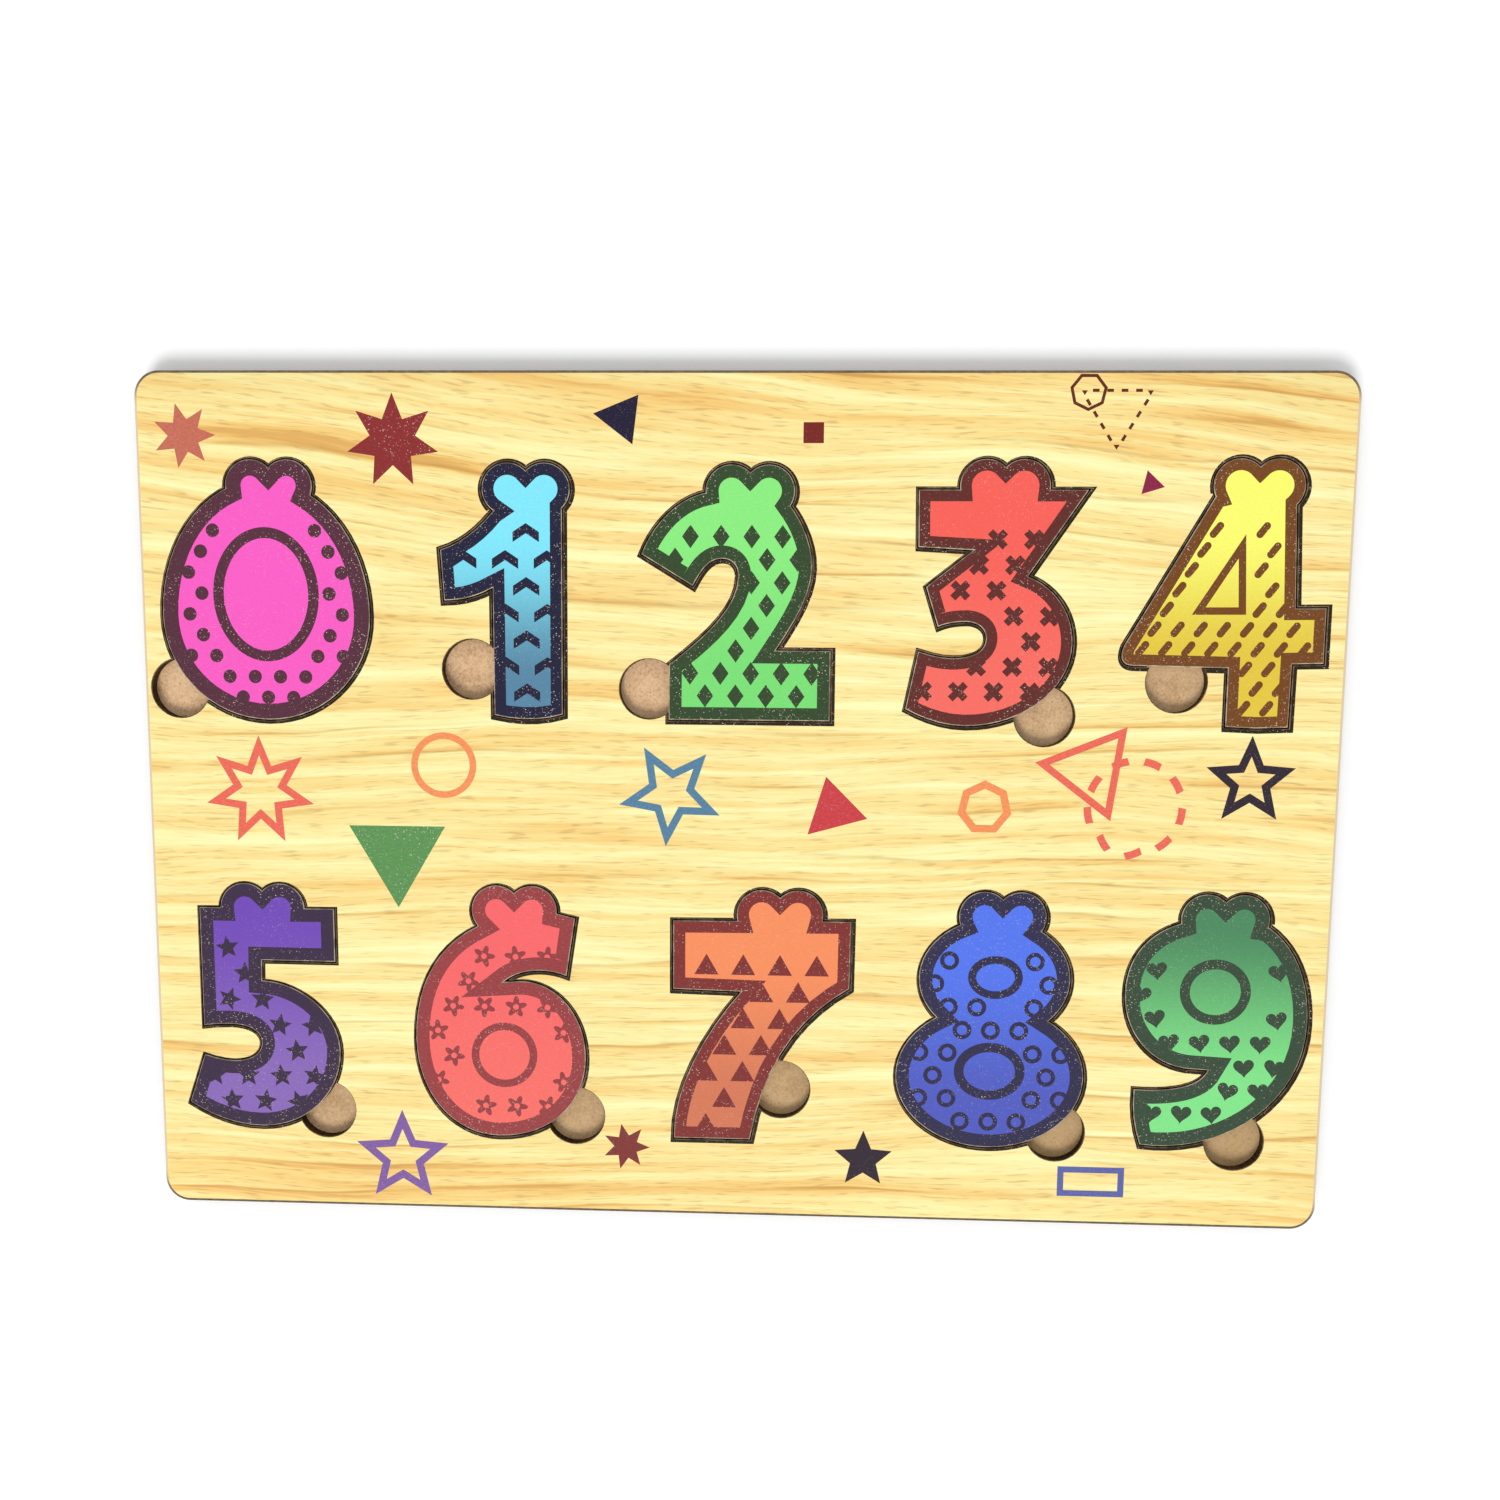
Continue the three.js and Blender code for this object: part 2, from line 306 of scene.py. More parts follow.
def top_outlines(node: str) -> list[Loop]:
    """Reads the outlines of a model piece's top face.

    Args:
        node: The piece's name in the model.

    Returns:
        Loops with the material on their left, so that cut-outs run clockwise.
    """
    shape = bmesh.new()
    shape.from_mesh(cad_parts[node].data)
    bmesh.ops.remove_doubles(shape, verts=shape.verts, dist=SAME_POINT * MM)
    shape.verts.index_update()
    places = np.array([vertex.co[:] for vertex in shape.verts]) / MM
    faces = np.array([[vertex.index for vertex in face.verts] for face in shape.faces])
    shape.free()
    level = places[:, 2].max() - SAME_POINT
    on_top = (places[faces][:, :, 2] > level).all(axis=1)
    return [places[run, :2] for run in rims(faces[on_top])]


# Node trees

def linear(colour: Colour) -> tuple[float, float, float, float]:
    """Returns a screen colour as Blender's opaque scene colour."""
    channels = [channel / FULL_CHANNEL for channel in colour]
    return (*Color(channels).from_srgb_to_scene_linear(), 1.0)


class Graph:
    """A node tree with a short way to add linked nodes."""

    def __init__(self, tree: bpy.types.NodeTree) -> None:
        """Takes the tree that the nodes go into."""
        self.tree = tree

    def add(self, kind: str, inputs: dict[str | int, Any] | None = None, **settings: Any) -> bpy.types.Node:
        """Adds a node.

        Args:
            kind: Blender's name for the node.
            inputs: What each input socket is linked to, or its value.
            **settings: The node's own settings.

        Returns:
            The new node.
        """
        made = self.tree.nodes.new(kind)
        for name, value in settings.items():
            setattr(made, name, value)
        for name, value in (inputs or {}).items():
            if isinstance(value, Socket):
                self.tree.links.new(value, made.inputs[name])
            else:
                made.inputs[name].default_value = value
        return made

    def math(self, operation: str, *values: Socket | float) -> Socket:
        """Returns the result of an operation on values."""
        return self.add("ShaderNodeMath", dict(enumerate(values)), operation=operation).outputs["Value"]

    def vector(self, **axes: Socket | float) -> Socket:
        """Returns a vector put together from its axes."""
        return self.add("ShaderNodeCombineXYZ", axes).outputs["Vector"]


@dataclass(frozen=True)
class Cloud:
    """A layer of noise, by the size of its puffs along three axes, the first two turned in degrees."""

    along: float
    up: float
    through: float = 1.0
    turn: float = 0.0
    detail: float = 2.0
    rough: float = 0.5


class Paint(Graph):
    """The node tree of one material, with places in millimetres."""

    def __init__(self, name: str) -> None:
        """Makes an empty material.

        Args:
            name: The material's name.
        """
        self.material = bpy.data.materials.new(name)
        self.material.use_nodes = True
        super().__init__(self.material.node_tree)
        self.tree.nodes.clear()
        metres = self.add("ShaderNodeTexCoord").outputs["Object"]
        scaled = self.add("ShaderNodeVectorMath", {0: metres, "Scale": 1 / MM}, operation="SCALE")
        self.places = scaled.outputs["Vector"]
        self.across, self.up, _ = self.add("ShaderNodeSeparateXYZ", {"Vector": self.places}).outputs

    def cloud(self, layer: Cloud, at: Socket | None = None) -> Socket:
        """Adds a layer of noise.

        Args:
            layer: The noise.
            at: Where it is read, if not at the surface's own places.

        Returns:
            A value round one half.
        """
        inputs = {
            "Vector": self.places if at is None else at,
            "Scale": (layer.along, layer.up, layer.through),
            "Rotation": (0, 0, math.radians(layer.turn)),
        }
        places = self.add("ShaderNodeMapping", inputs, vector_type="TEXTURE").outputs["Vector"]
        inputs = {"Vector": places, "Scale": 1.0, "Detail": layer.detail, "Roughness": layer.rough}
        return self.add("ShaderNodeTexNoise", inputs).outputs["Fac"]

    def sum(self, *terms: tuple[Socket, float], start: float = 0.0) -> Socket:
        """Adds up values.

        Args:
            *terms: Each value and what it is multiplied by.
            start: What the sum starts from.

        Returns:
            The sum.
        """
        total: Socket | float = start
        for value, share in terms:
            total = self.math("MULTIPLY_ADD", value, share, total)
        return total

    def between(self, value: Socket, limits: Span) -> Socket:
        """Returns 0 at the first limit and 1 at the second, with a smooth change between them."""
        inputs = {"Value": value, "From Min": limits[0], "From Max": limits[1]}
        return self.add("ShaderNodeMapRange", inputs, interpolation_type="SMOOTHSTEP").outputs["Result"]

    def times(self, *values: Socket | float) -> Socket:
        """Returns the product of values."""
        return reduce(partial(self.math, "MULTIPLY"), values)

    def ramp(self, value: Socket, *stops: tuple[float, Colour]) -> Socket:
        """Colours a value.

        Args:
            value: What is coloured.
            *stops: Values and their colours, from low to high.

        Returns:
            The colour.
        """
        made = self.add("ShaderNodeValToRGB", {"Fac": value})
        elements = made.color_ramp.elements
        while len(elements) < len(stops):
            elements.new(1.0)
        for element, (place, colour) in zip(elements, stops):
            element.position = place
            element.color = linear(colour)
        return made.outputs["Color"]

    def mix(self, share: Socket, first: Socket | Colour, second: Socket | Colour) -> Socket:
        """Mixes two colours.

        Args:
            share: How much of the second colour there is.
            first: The colour underneath.
            second: The colour on top.

        Returns:
            The mixed colour.
        """
        sides = [side if isinstance(side, Socket) else linear(side) for side in (first, second)]
        inputs = {MIX_FACTOR: share, MIX_FIRST: sides[0], MIX_SECOND: sides[1]}
        return self.add("ShaderNodeMix", inputs, data_type="RGBA").outputs[MIX_RESULT]


# Finishes

@dataclass(frozen=True, kw_only=True)
class Finish:
    """A surface: the depth of its relief, its roughness in hollows and on heights, and its shine."""

    name: str
    relief: float
    roughness: Span
    shine: float = 0.1

    def dress(self, paint: Paint) -> tuple[Socket, Socket]:
        """Returns the surface's colour, and its relief from 0 to 1."""
        raise NotImplementedError

    def glow(self, paint: Paint) -> dict[str, Any]:
        """Returns what the surface gives off, as inputs of the shader."""
        return {}

    def material(self) -> Material:
        """Makes the finish's material.

        Returns:
            The material.
        """
        paint = Paint(self.name)
        colour, height = self.dress(paint)
        low, high = self.roughness
        bump = {"Height": height, "Distance": self.relief * MM, "Strength": 1.0}
        raised = paint.add("ShaderNodeBump", bump)
        inputs = {
            "Base Color": colour,
            "Roughness": paint.sum((height, high - low), start=low),
            "Normal": raised.outputs["Normal"],
            "Specular IOR Level": self.shine,
            **self.glow(paint),
        }
        surface = paint.add("ShaderNodeBsdfPrincipled", inputs).outputs["BSDF"]
        paint.add("ShaderNodeOutputMaterial", {"Surface": surface})
        return paint.material


@dataclass(frozen=True, kw_only=True)
class PrintedWood(Finish):
    """The face sheet's print of pale flat-sawn wood, whose growth rings run across the board."""

    name: str = "printed_wood"
    relief: float = 0.01
    roughness: Span = (0.38, 0.5)
    stops: tuple[tuple[float, Colour], ...] = (
        (0.0, (228, 178, 100)),
        (0.16, (245, 201, 119)),
        (0.34, (250, 215, 135)),
        (0.52, (252, 229, 153)),
        (0.7, (254, 241, 170)),
        (0.9, (255, 252, 188)),
    )
    heart_line: float = -9.0
    heart_near: float = 1.5
    heart_far: float = 6.5
    tongue: Span = (75.0, -25.0)
    slant: float = 0.09
    slant_heights: Span = (15.0, 85.0)
    slow: Cloud = Cloud(240.0, 75.0, detail=1.0)
    slow_reach: float = 24.0
    ripple: Cloud = Cloud(80.0, 24.0)
    ripple_reach: float = 7.0
    ring_spacing: float = 8.0
    wander: Cloud = Cloud(260.0, 30.0, detail=1.0)
    wander_reach: float = 3.0
    ring_onset: Span = (0.0, 0.09)
    late_wood: Span = (0.55, 0.0)
    late_depth: float = 0.38
    ring_line: Span = (0.16, 0.06)
    line_colour: Colour = (188, 138, 70)
    fade: Cloud = Cloud(70.0, 9.0)
    fade_limits: Span = (0.42, 0.66)
    bands: Cloud = Cloud(150.0, 4.5, detail=3.0)
    bands_reach: float = 1.55
    streaks: Cloud = Cloud(45.0, 1.1, detail=3.0, rough=0.6)
    streaks_reach: float = 0.8
    hairs: Cloud = Cloud(9.0, 0.3)
    hairs_reach: float = 0.28
    tone_start: float = -0.69
    # the print is darker towards its top and bottom edges
    long_edges: Span = (78.0, 100.0)
    edge_depth: float = 0.17
    ticks: Cloud = Cloud(6.5, 0.5, detail=1.0)
    tick_limits: Span = (0.55, 0.72)
    tick_tones: Span = (1.0, 0.35)
    tick_colour: Colour = (200, 158, 98)
    tick_share: float = 0.54

    def aside(self, paint: Paint) -> Socket:
        """Works out how far up from the heart's line each place lies along the bent grain.

        Args:
            paint: The material's tree.

        Returns:
            The distance in millimetres, negative below the line.
        """
        start = -self.heart_line - (self.slow_reach + self.ripple_reach) / 2
        bends = ((paint.cloud(self.slow), self.slow_reach), (paint.cloud(self.ripple), self.ripple_reach))
        slanted = paint.times(paint.across, paint.between(paint.up, self.slant_heights))
        return paint.sum((paint.up, 1.0), (slanted, self.slant), *bends, start=start)

    def growth(self, paint: Paint, aside: Socket) -> Socket:
        """Works out how far from the trunk's heart the saw met each place, so that rings end in a tongue.

        Args:
            paint: The material's tree.
            aside: How far up from the heart's line each place lies.

        Returns:
            The distance in millimetres.
        """
        below = paint.sum((paint.between(paint.across, self.tongue), self.heart_far - self.heart_near),
                          start=self.heart_near)
        apart = {0: paint.vector(X=aside, Y=below)}
        return paint.add("ShaderNodeVectorMath", apart, operation="LENGTH").outputs["Value"]

    def dress(self, paint: Paint) -> tuple[Socket, Socket]:
        """Lays soft bands, growth rings with a darker side, streaks and short ticks along one bent grain.

        Args:
            paint: The material's tree.

        Returns:
            The colour, and the relief.
        """
        aside = self.aside(paint)
        grain = paint.vector(X=paint.across, Y=aside)
        turns = paint.sum((self.growth(paint, aside), 1 / self.ring_spacing),
                          (paint.cloud(self.wander, grain), self.wander_reach))
        ring = paint.math("FRACT", turns)
        fade = paint.between(paint.cloud(self.fade, grain), self.fade_limits)
        strength = paint.times(fade, paint.between(ring, self.ring_onset))
        late = paint.times(paint.between(ring, self.late_wood), strength)
        hairs = paint.cloud(self.hairs, grain)
        edges = paint.between(paint.math("ABSOLUTE", paint.up), self.long_edges)
        tone = paint.sum((paint.cloud(self.bands, grain), self.bands_reach),
                         (paint.cloud(self.streaks, grain), self.streaks_reach),
                         (hairs, self.hairs_reach), (late, -self.late_depth),
                         (edges, -self.edge_depth), start=self.tone_start)
        line = paint.times(paint.between(ring, self.ring_line), strength, hairs)
        lined = paint.mix(line, paint.ramp(tone, *self.stops), self.line_colour)
        ticks = paint.times(paint.between(paint.cloud(self.ticks, grain), self.tick_limits),
                            paint.between(tone, self.tick_tones), self.tick_share)
        return paint.mix(ticks, lined, self.tick_colour), hairs


@dataclass(frozen=True, kw_only=True)
class Ink(Finish):
    """A printed colour, which may change up the board, with a faint raster, and painted glints: tiny
    highlights painted into the colour in patches.
    """

    relief: float = 0.01
    roughness: Span = (0.36, 0.5)
    upper: Colour
    lower: Colour
    gradient: Span = (-1.0, 1.0)
    raster: Cloud = Cloud(0.9, 0.45, detail=1.0)
    raster_limits: Span = (0.3, 0.72)
    raster_share: float = 0.16
    # painted highlight: the glints' colour, mixed into the ink's base colour
    glint_colour: Colour = (240, 226, 208)
    glint_share: float = 0.85
    glint_spacing: float = 0.36
    glint_rarity: float = 2.2
    glint_reach: float = 0.54
    glint_edge: Span = (0.0, 0.34)
    patches: Cloud = Cloud(12.0, 12.0, 12.0)
    patch_limits: Span = (0.3, 0.62)

    def dress(self, paint: Paint) -> tuple[Socket, Socket]:
        """Prints the colour and its raster, and paints the glints on as highlights.

        Args:
            paint: The material's tree.

        Returns:
            The colour, and the relief.
        """
        colour = paint.mix(paint.between(paint.up, self.gradient), self.lower, self.upper)
        raster = paint.cloud(self.raster)
        lines = paint.times(paint.between(raster, self.raster_limits), self.raster_share)
        # painted glints: highlights mixed into the base colour over the raster
        return paint.mix(self.glints(paint), paint.mix(lines, colour, BLACK), self.glint_colour), raster

    def glints(self, paint: Paint) -> Socket:
        """Works out where painted highlights glint on the ink: in spots of many sizes, most of them tiny, in
        patches.

        Args:
            paint: The material's tree.

        Returns:
            How strongly the painted highlight shows at each place.
        """
        cells = paint.add("ShaderNodeTexVoronoi", {"Vector": paint.places, "Scale": 1 / self.glint_spacing})
        draw = paint.add("ShaderNodeSeparateColor", {"Color": cells.outputs["Color"]}).outputs["Red"]
        size = paint.math("POWER", draw, self.glint_rarity)
        inside = paint.sum((size, self.glint_reach), (cells.outputs["Distance"], -1.0))
        patch = paint.between(paint.cloud(self.patches), self.patch_limits)
        return paint.times(paint.between(inside, self.glint_edge), patch, self.glint_share)


@dataclass(frozen=True, kw_only=True)
class ScorchedRim(Finish):
    """The thin edge that the cutting beam leaves between a print and the charred wall."""

    relief: float = 0.01
    roughness: Span = (0.55, 0.75)
    pale: Colour
    burnt: Colour
    burn: Cloud = Cloud(2.4, 2.4, 2.4, detail=1.0)
    limits: Span = (0.36, 0.6)

    def dress(self, paint: Paint) -> tuple[Socket, Socket]:
        """Returns a colour that is here and there burnt, and the relief."""
        burn = paint.cloud(self.burn)
        return paint.mix(paint.between(burn, self.limits), self.burnt, self.pale), burn


@dataclass(frozen=True, kw_only=True)
class CharredEdgeWithHighlight(Finish):
    """The board's outer edge, charred along its two long sides, with a highlight painted in pale tan at its
    ends.
    """

    name: str = "charred_edge_with_highlight"
    relief: float = 0.02
    roughness: Span = (0.6, 0.8)
    upper_char: Colour = (84, 70, 52)
    lower_char: Colour = (50, 42, 32)
    # painted highlight at the ends, and also the colour of the paler random blotches
    highlight_and_blotch_tan: Colour = (226, 206, 172)
    halves: Span = (-50.0, 50.0)
    long_sides: Span
    blotches: Cloud = Cloud(1.6, 1.6, 1.6, detail=3.0)
    blotch_share: float = 0.3

    def dress(self, paint: Paint) -> tuple[Socket, Socket]:
        """Chars the edge along its long sides, most of all below, and paints a pale tan highlight at its
        ends.

        Args:
            paint: The material's tree.

        Returns:
            The colour, and the relief.
        """
        blotches = paint.cloud(self.blotches)
        char = paint.mix(paint.between(paint.up, self.halves), self.lower_char, self.upper_char)
        along = paint.between(paint.math("ABSOLUTE", paint.up), self.long_sides)
        spared = paint.times(blotches, self.blotch_share)
        # the ends get the painted highlight; random blotches show the same tan through the char
        return paint.mix(spared, paint.mix(along, self.highlight_and_blotch_tan, char), self.highlight_and_blotch_tan), blotches


@dataclass(frozen=True, kw_only=True)
class CharredWall(Finish):
    """A cut wall, browned by the cutting beam, with the fine upright lines that it leaves."""

    name: str = "charred_wall"
    relief: float = 0.05
    roughness: Span = (0.72, 0.87)
    soot: Colour = (38, 26, 14)
    brown: Colour = (96, 70, 40)
    lines: Cloud = Cloud(0.45, 0.45, 3.8, detail=3.0, rough=0.6)
    lines_reach: float = 0.7
    blotches: Cloud = Cloud(8.0, 8.0, 8.0)
    blotches_reach: float = 0.6
    limits: Span = (0.43, 0.93)

    def dress(self, paint: Paint) -> tuple[Socket, Socket]:
        """Browns the wall unevenly.

        Args:
            paint: The material's tree.

        Returns:
            The colour, and the relief.
        """
        lines = paint.cloud(self.lines)
        tone = paint.sum((lines, self.lines_reach), (paint.cloud(self.blotches), self.blotches_reach))
        return paint.mix(paint.between(tone, self.limits), self.soot, self.brown), lines


@dataclass(frozen=True, kw_only=True)
class RawFibreboard(Finish):
    """Bare pressed fibreboard: fibres matted every way, dark specks, soft blotches, and painted shade
    towards the lower right.
    """

    name: str = "raw_fibreboard"
    relief: float = 0.06
    roughness: Span = (0.68, 0.88)
    stops: tuple[tuple[float, Colour], ...] = (
        (0.25, (190, 152, 112)),
        (0.5, (225, 186, 145)),
        (0.8, (248, 212, 168)),
    )
    fibres: tuple[Cloud, ...] = (
        Cloud(1.3, 0.55, turn=24.0, detail=3.0, rough=0.6),
        Cloud(1.4, 0.5, turn=81.0, detail=3.0, rough=0.6),
        Cloud(1.2, 0.5, turn=143.0, detail=3.0, rough=0.6),
    )
    fibres_reach: float = 1.6
    blotches: Cloud = Cloud(6.0, 6.0, 6.0)
    blotches_reach: float = 0.7
    tone_start: float = -0.65
    specks: Cloud = Cloud(0.6, 0.6, 0.6)
    speck_limits: Span = (0.62, 0.74)
    speck_colour: Colour = (132, 94, 64)
    speck_share: float = 0.7
    # painted shade: darker and more olive towards the lower right
    lower_right_shade: Colour = (176, 148, 98)
    shade_slope: float = 0.5
    shade_places: Span = (-60.0, 150.0)
    shade_share: float = 0.6

    def dress(self, paint: Paint) -> tuple[Socket, Socket]:
        """Mats the fibres, paints shade over the board's lower right and scatters the specks.

        Args:
            paint: The material's tree.

        Returns:
            The colour, and the relief.
        """
        fibres = paint.sum(*((paint.cloud(way), 1 / len(self.fibres)) for way in self.fibres))
        blotches = paint.cloud(self.blotches)
        tone = paint.sum((fibres, self.fibres_reach), (blotches, self.blotches_reach),
                         start=self.tone_start)
        # painted shade, growing towards the lower right
        lower_right = paint.sum((paint.across, self.shade_slope), (paint.up, -1.0))
        corner = paint.between(lower_right, self.shade_places)
        board = paint.mix(paint.times(corner, self.shade_share), paint.ramp(tone, *self.stops), self.lower_right_shade)
        specks = paint.times(paint.between(paint.cloud(self.specks), self.speck_limits), self.speck_share)
        return paint.mix(specks, board, self.speck_colour), fibres


@dataclass(frozen=True, kw_only=True)
class FloorPaper(Finish):
    """The plain white paper that the puzzle lies on."""

    name: str = "floor_paper"
    relief: float = 0.01
    roughness: Span = (0.8, 0.9)
    pale: Colour = WHITE
    dull: Colour = (253, 253, 253)
    pulp: Cloud = Cloud(5.0, 5.0, 5.0, detail=3.0)
    lift: float = 0.09

    def glow(self, paint: Paint) -> dict[str, Any]:
        """Returns a little white that only the camera sees."""
        seen = paint.add("ShaderNodeLightPath").outputs["Is Camera Ray"]
        return {"Emission Color": linear(WHITE), "Emission Strength": paint.times(seen, self.lift)}

    def dress(self, paint: Paint) -> tuple[Socket, Socket]:
        """Returns a faintly cloudy white, and the relief."""
        pulp = paint.cloud(self.pulp)
        return paint.mix(pulp, self.dull, self.pale), pulp


@dataclass(frozen=True)
class Stock:
    """What a cut sheet shows round and under its print."""

    rim: Material
    wall: Material
    raw: Material


# Patterns that geometry nodes lay out

class Pattern:
    """A geometry node tree that lays out copies of a flat figure."""

    NAME: str
    INPUTS: dict[str, str]

    def __init__(self) -> None:
        """Builds the tree, whose first input is a geometry and whose last is the ink."""
        self.tree = bpy.data.node_groups.new(self.NAME, "GeometryNodeTree")
        for socket, kind in self.INPUTS.items():
            self.tree.interface.new_socket(socket, in_out="INPUT", socket_type=f"NodeSocket{kind}")
        self.tree.interface.new_socket("Print", in_out="OUTPUT", socket_type="NodeSocketGeometry")
        self.graph = Graph(self.tree)
        self.given = self.graph.add("NodeGroupInput").outputs
        copies = {"Geometry": self.copies()}
        real = self.graph.add("GeometryNodeRealizeInstances", copies).outputs["Geometry"]
        inked = self.graph.add("GeometryNodeSetMaterial", {"Geometry": real, "Material": self.given["Ink"]})
        self.graph.add("NodeGroupOutput", {"Print": inked.outputs["Geometry"]})

    def copies(self) -> Socket:
        """Returns the laid out copies, from the tree's inputs."""
        raise NotImplementedError

    def lay(self, mesh: bpy.types.Mesh, values: dict[str, Any]) -> list[Loop]:
        """Runs the tree.

        Args:
            mesh: What goes into its first input.
            values: Its other inputs by name.

        Returns:
            The flat faces that it makes, each as a loop.
        """
        carrier = bpy.data.objects.new(self.NAME, mesh)
        bpy.context.scene.collection.objects.link(carrier)
        modifier = carrier.modifiers.new(self.NAME, "NODES")
        modifier.node_group = self.tree
        for item in self.tree.interface.items_tree:
            if item.in_out == "INPUT" and item.name in values:
                modifier[item.identifier] = values[item.name]
        evaluated = carrier.evaluated_get(bpy.context.evaluated_depsgraph_get())
        plain = bpy.data.meshes.new_from_object(evaluated)
        places = [vertex.co[:2] for vertex in plain.vertices]
        loops = [figure(*(places[corner] for corner in face.vertices)) for face in plain.polygons]
        carrier.modifiers.remove(modifier)
        bpy.data.objects.remove(carrier)
        bpy.data.meshes.remove(mesh)
        bpy.data.meshes.remove(plain)
        return loops


class MotifField(Pattern):
    """A staggered field of one motif."""

    NAME = "motif_field"
    INPUTS = {
        "Motif": "Geometry",
        "Columns": "Int",
        "Rows": "Int",
        "Width": "Float",
        "Height": "Float",
        "Stagger": "Float",
        "Turn": "Float",
        "Sway": "Float",
        "Seed": "Int",
        "Centre": "Vector",
        "Ink": "Material",
    }

    def copies(self) -> Socket:
        """Sets a motif at each point of a grid, whose every other row is pushed sideways.

        Returns:
            The copies.
        """
        graph, given = self.graph, self.given
        sizes = {"Vertices X": given["Columns"], "Vertices Y": given["Rows"],
                 "Size X": given["Width"], "Size Y": given["Height"]}
        grid = graph.add("GeometryNodeMeshGrid", sizes).outputs["Mesh"]
        row = graph.math("MODULO", graph.add("GeometryNodeInputIndex").outputs["Index"], given["Rows"])
        push = graph.math("MULTIPLY", graph.math("PINGPONG", row, 1.0), given["Stagger"])
        offsets = {"Geometry": grid, "Offset": graph.vector(X=push)}
        points = graph.add("GeometryNodeSetPosition", offsets).outputs["Geometry"]
        inputs = {"Points": points, "Instance": given["Motif"], "Rotation": self.turn()}
        copies = graph.add("GeometryNodeInstanceOnPoints", inputs).outputs["Instances"]
        moves = {"Geometry": copies, "Translation": given["Centre"]}
        return graph.add("GeometryNodeTransform", moves).outputs["Geometry"]

    def turn(self) -> Socket:
        """Works out each motif's turn: the field's own turn, give or take its sway.

        Returns:
            The turn.
        """
        graph, given = self.graph, self.given
        least = graph.math("SUBTRACT", given["Turn"], given["Sway"])
        most = graph.math("ADD", given["Turn"], given["Sway"])
        limits = {RANDOM_LEAST: least, RANDOM_MOST: most, RANDOM_SEED: given["Seed"]}
        angle = graph.add("FunctionNodeRandomValue", limits, data_type="FLOAT").outputs[RANDOM_RESULT]
        euler = {"Euler": graph.vector(Z=angle)}
        return graph.add("FunctionNodeEulerToRotation", euler).outputs["Rotation"]


class DashedLine(Pattern):
    """Dashes set evenly along lines, from their first point to their last."""

    NAME = "dashed_line"
    INPUTS = {
        "Path": "Geometry",
        "Dashes": "Int",
        "Length": "Float",
        "Width": "Float",
        "Bend": "Float",
        "Ink": "Material",
    }
    STEPS = 7
    ENDS = 2

    def copies(self) -> Socket:
        """Sets a dash, bent like the line, at each of the points along it.

        Returns:
            The copies.
        """
        graph, given = self.graph, self.given
        curve = graph.add("GeometryNodeMeshToCurve", {"Mesh": given["Path"]}).outputs["Curve"]
        counts = {"Curve": curve, "Count": given["Dashes"]}
        spots = graph.add("GeometryNodeResampleCurve", counts, mode="COUNT").outputs["Curve"]
        tangent = {"Vector": graph.add("GeometryNodeInputTangent").outputs["Tangent"]}
        facing = graph.add("FunctionNodeAlignRotationToVector", tangent, axis="X", pivot_axis="Z")
        inputs = {"Points": spots, "Instance": self.dash(), "Rotation": facing.outputs["Rotation"]}
        return graph.add("GeometryNodeInstanceOnPoints", inputs).outputs["Instances"]

    def dash(self) -> Socket:
        """Makes one dash: a strip whose ends are bent to its left.

        Returns:
            The dash.
        """
        graph, given = self.graph, self.given
        sizes = {"Vertices X": self.STEPS, "Vertices Y": self.ENDS,
                 "Size X": given["Length"], "Size Y": given["Width"]}
        strip = graph.add("GeometryNodeMeshGrid", sizes).outputs["Mesh"]
        place = {"Vector": graph.add("GeometryNodeInputPosition").outputs["Position"]}
        along = graph.add("ShaderNodeSeparateXYZ", place).outputs["X"]
        lift = graph.math("MULTIPLY", graph.math("MULTIPLY", along, along), given["Bend"])
        offsets = {"Geometry": strip, "Offset": graph.vector(Y=lift)}
        return graph.add("GeometryNodeSetPosition", offsets).outputs["Geometry"]


def flat_mesh(loops: Sequence[Loop], filled: bool = True) -> bpy.types.Mesh:
    """Makes a flat mesh in millimetres.

    Args:
        loops: Its faces, or its open lines.
        filled: Whether each loop is a face; otherwise it is a line.

    Returns:
        The mesh.
    """
    places: list[tuple[float, float, float]] = []
    faces: list[range] = []
    edges: list[tuple[int, int]] = []
    for loop in loops:
        numbers = range(len(places), len(places) + len(loop))
        places.extend((x, y, 0.0) for x, y in loop)
        if filled:
            faces.append(numbers)
        else:
            edges.extend(zip(numbers, numbers[1:]))
    mesh = bpy.data.meshes.new("flat_figure")
    mesh.from_pydata(places, edges, faces)
    return mesh


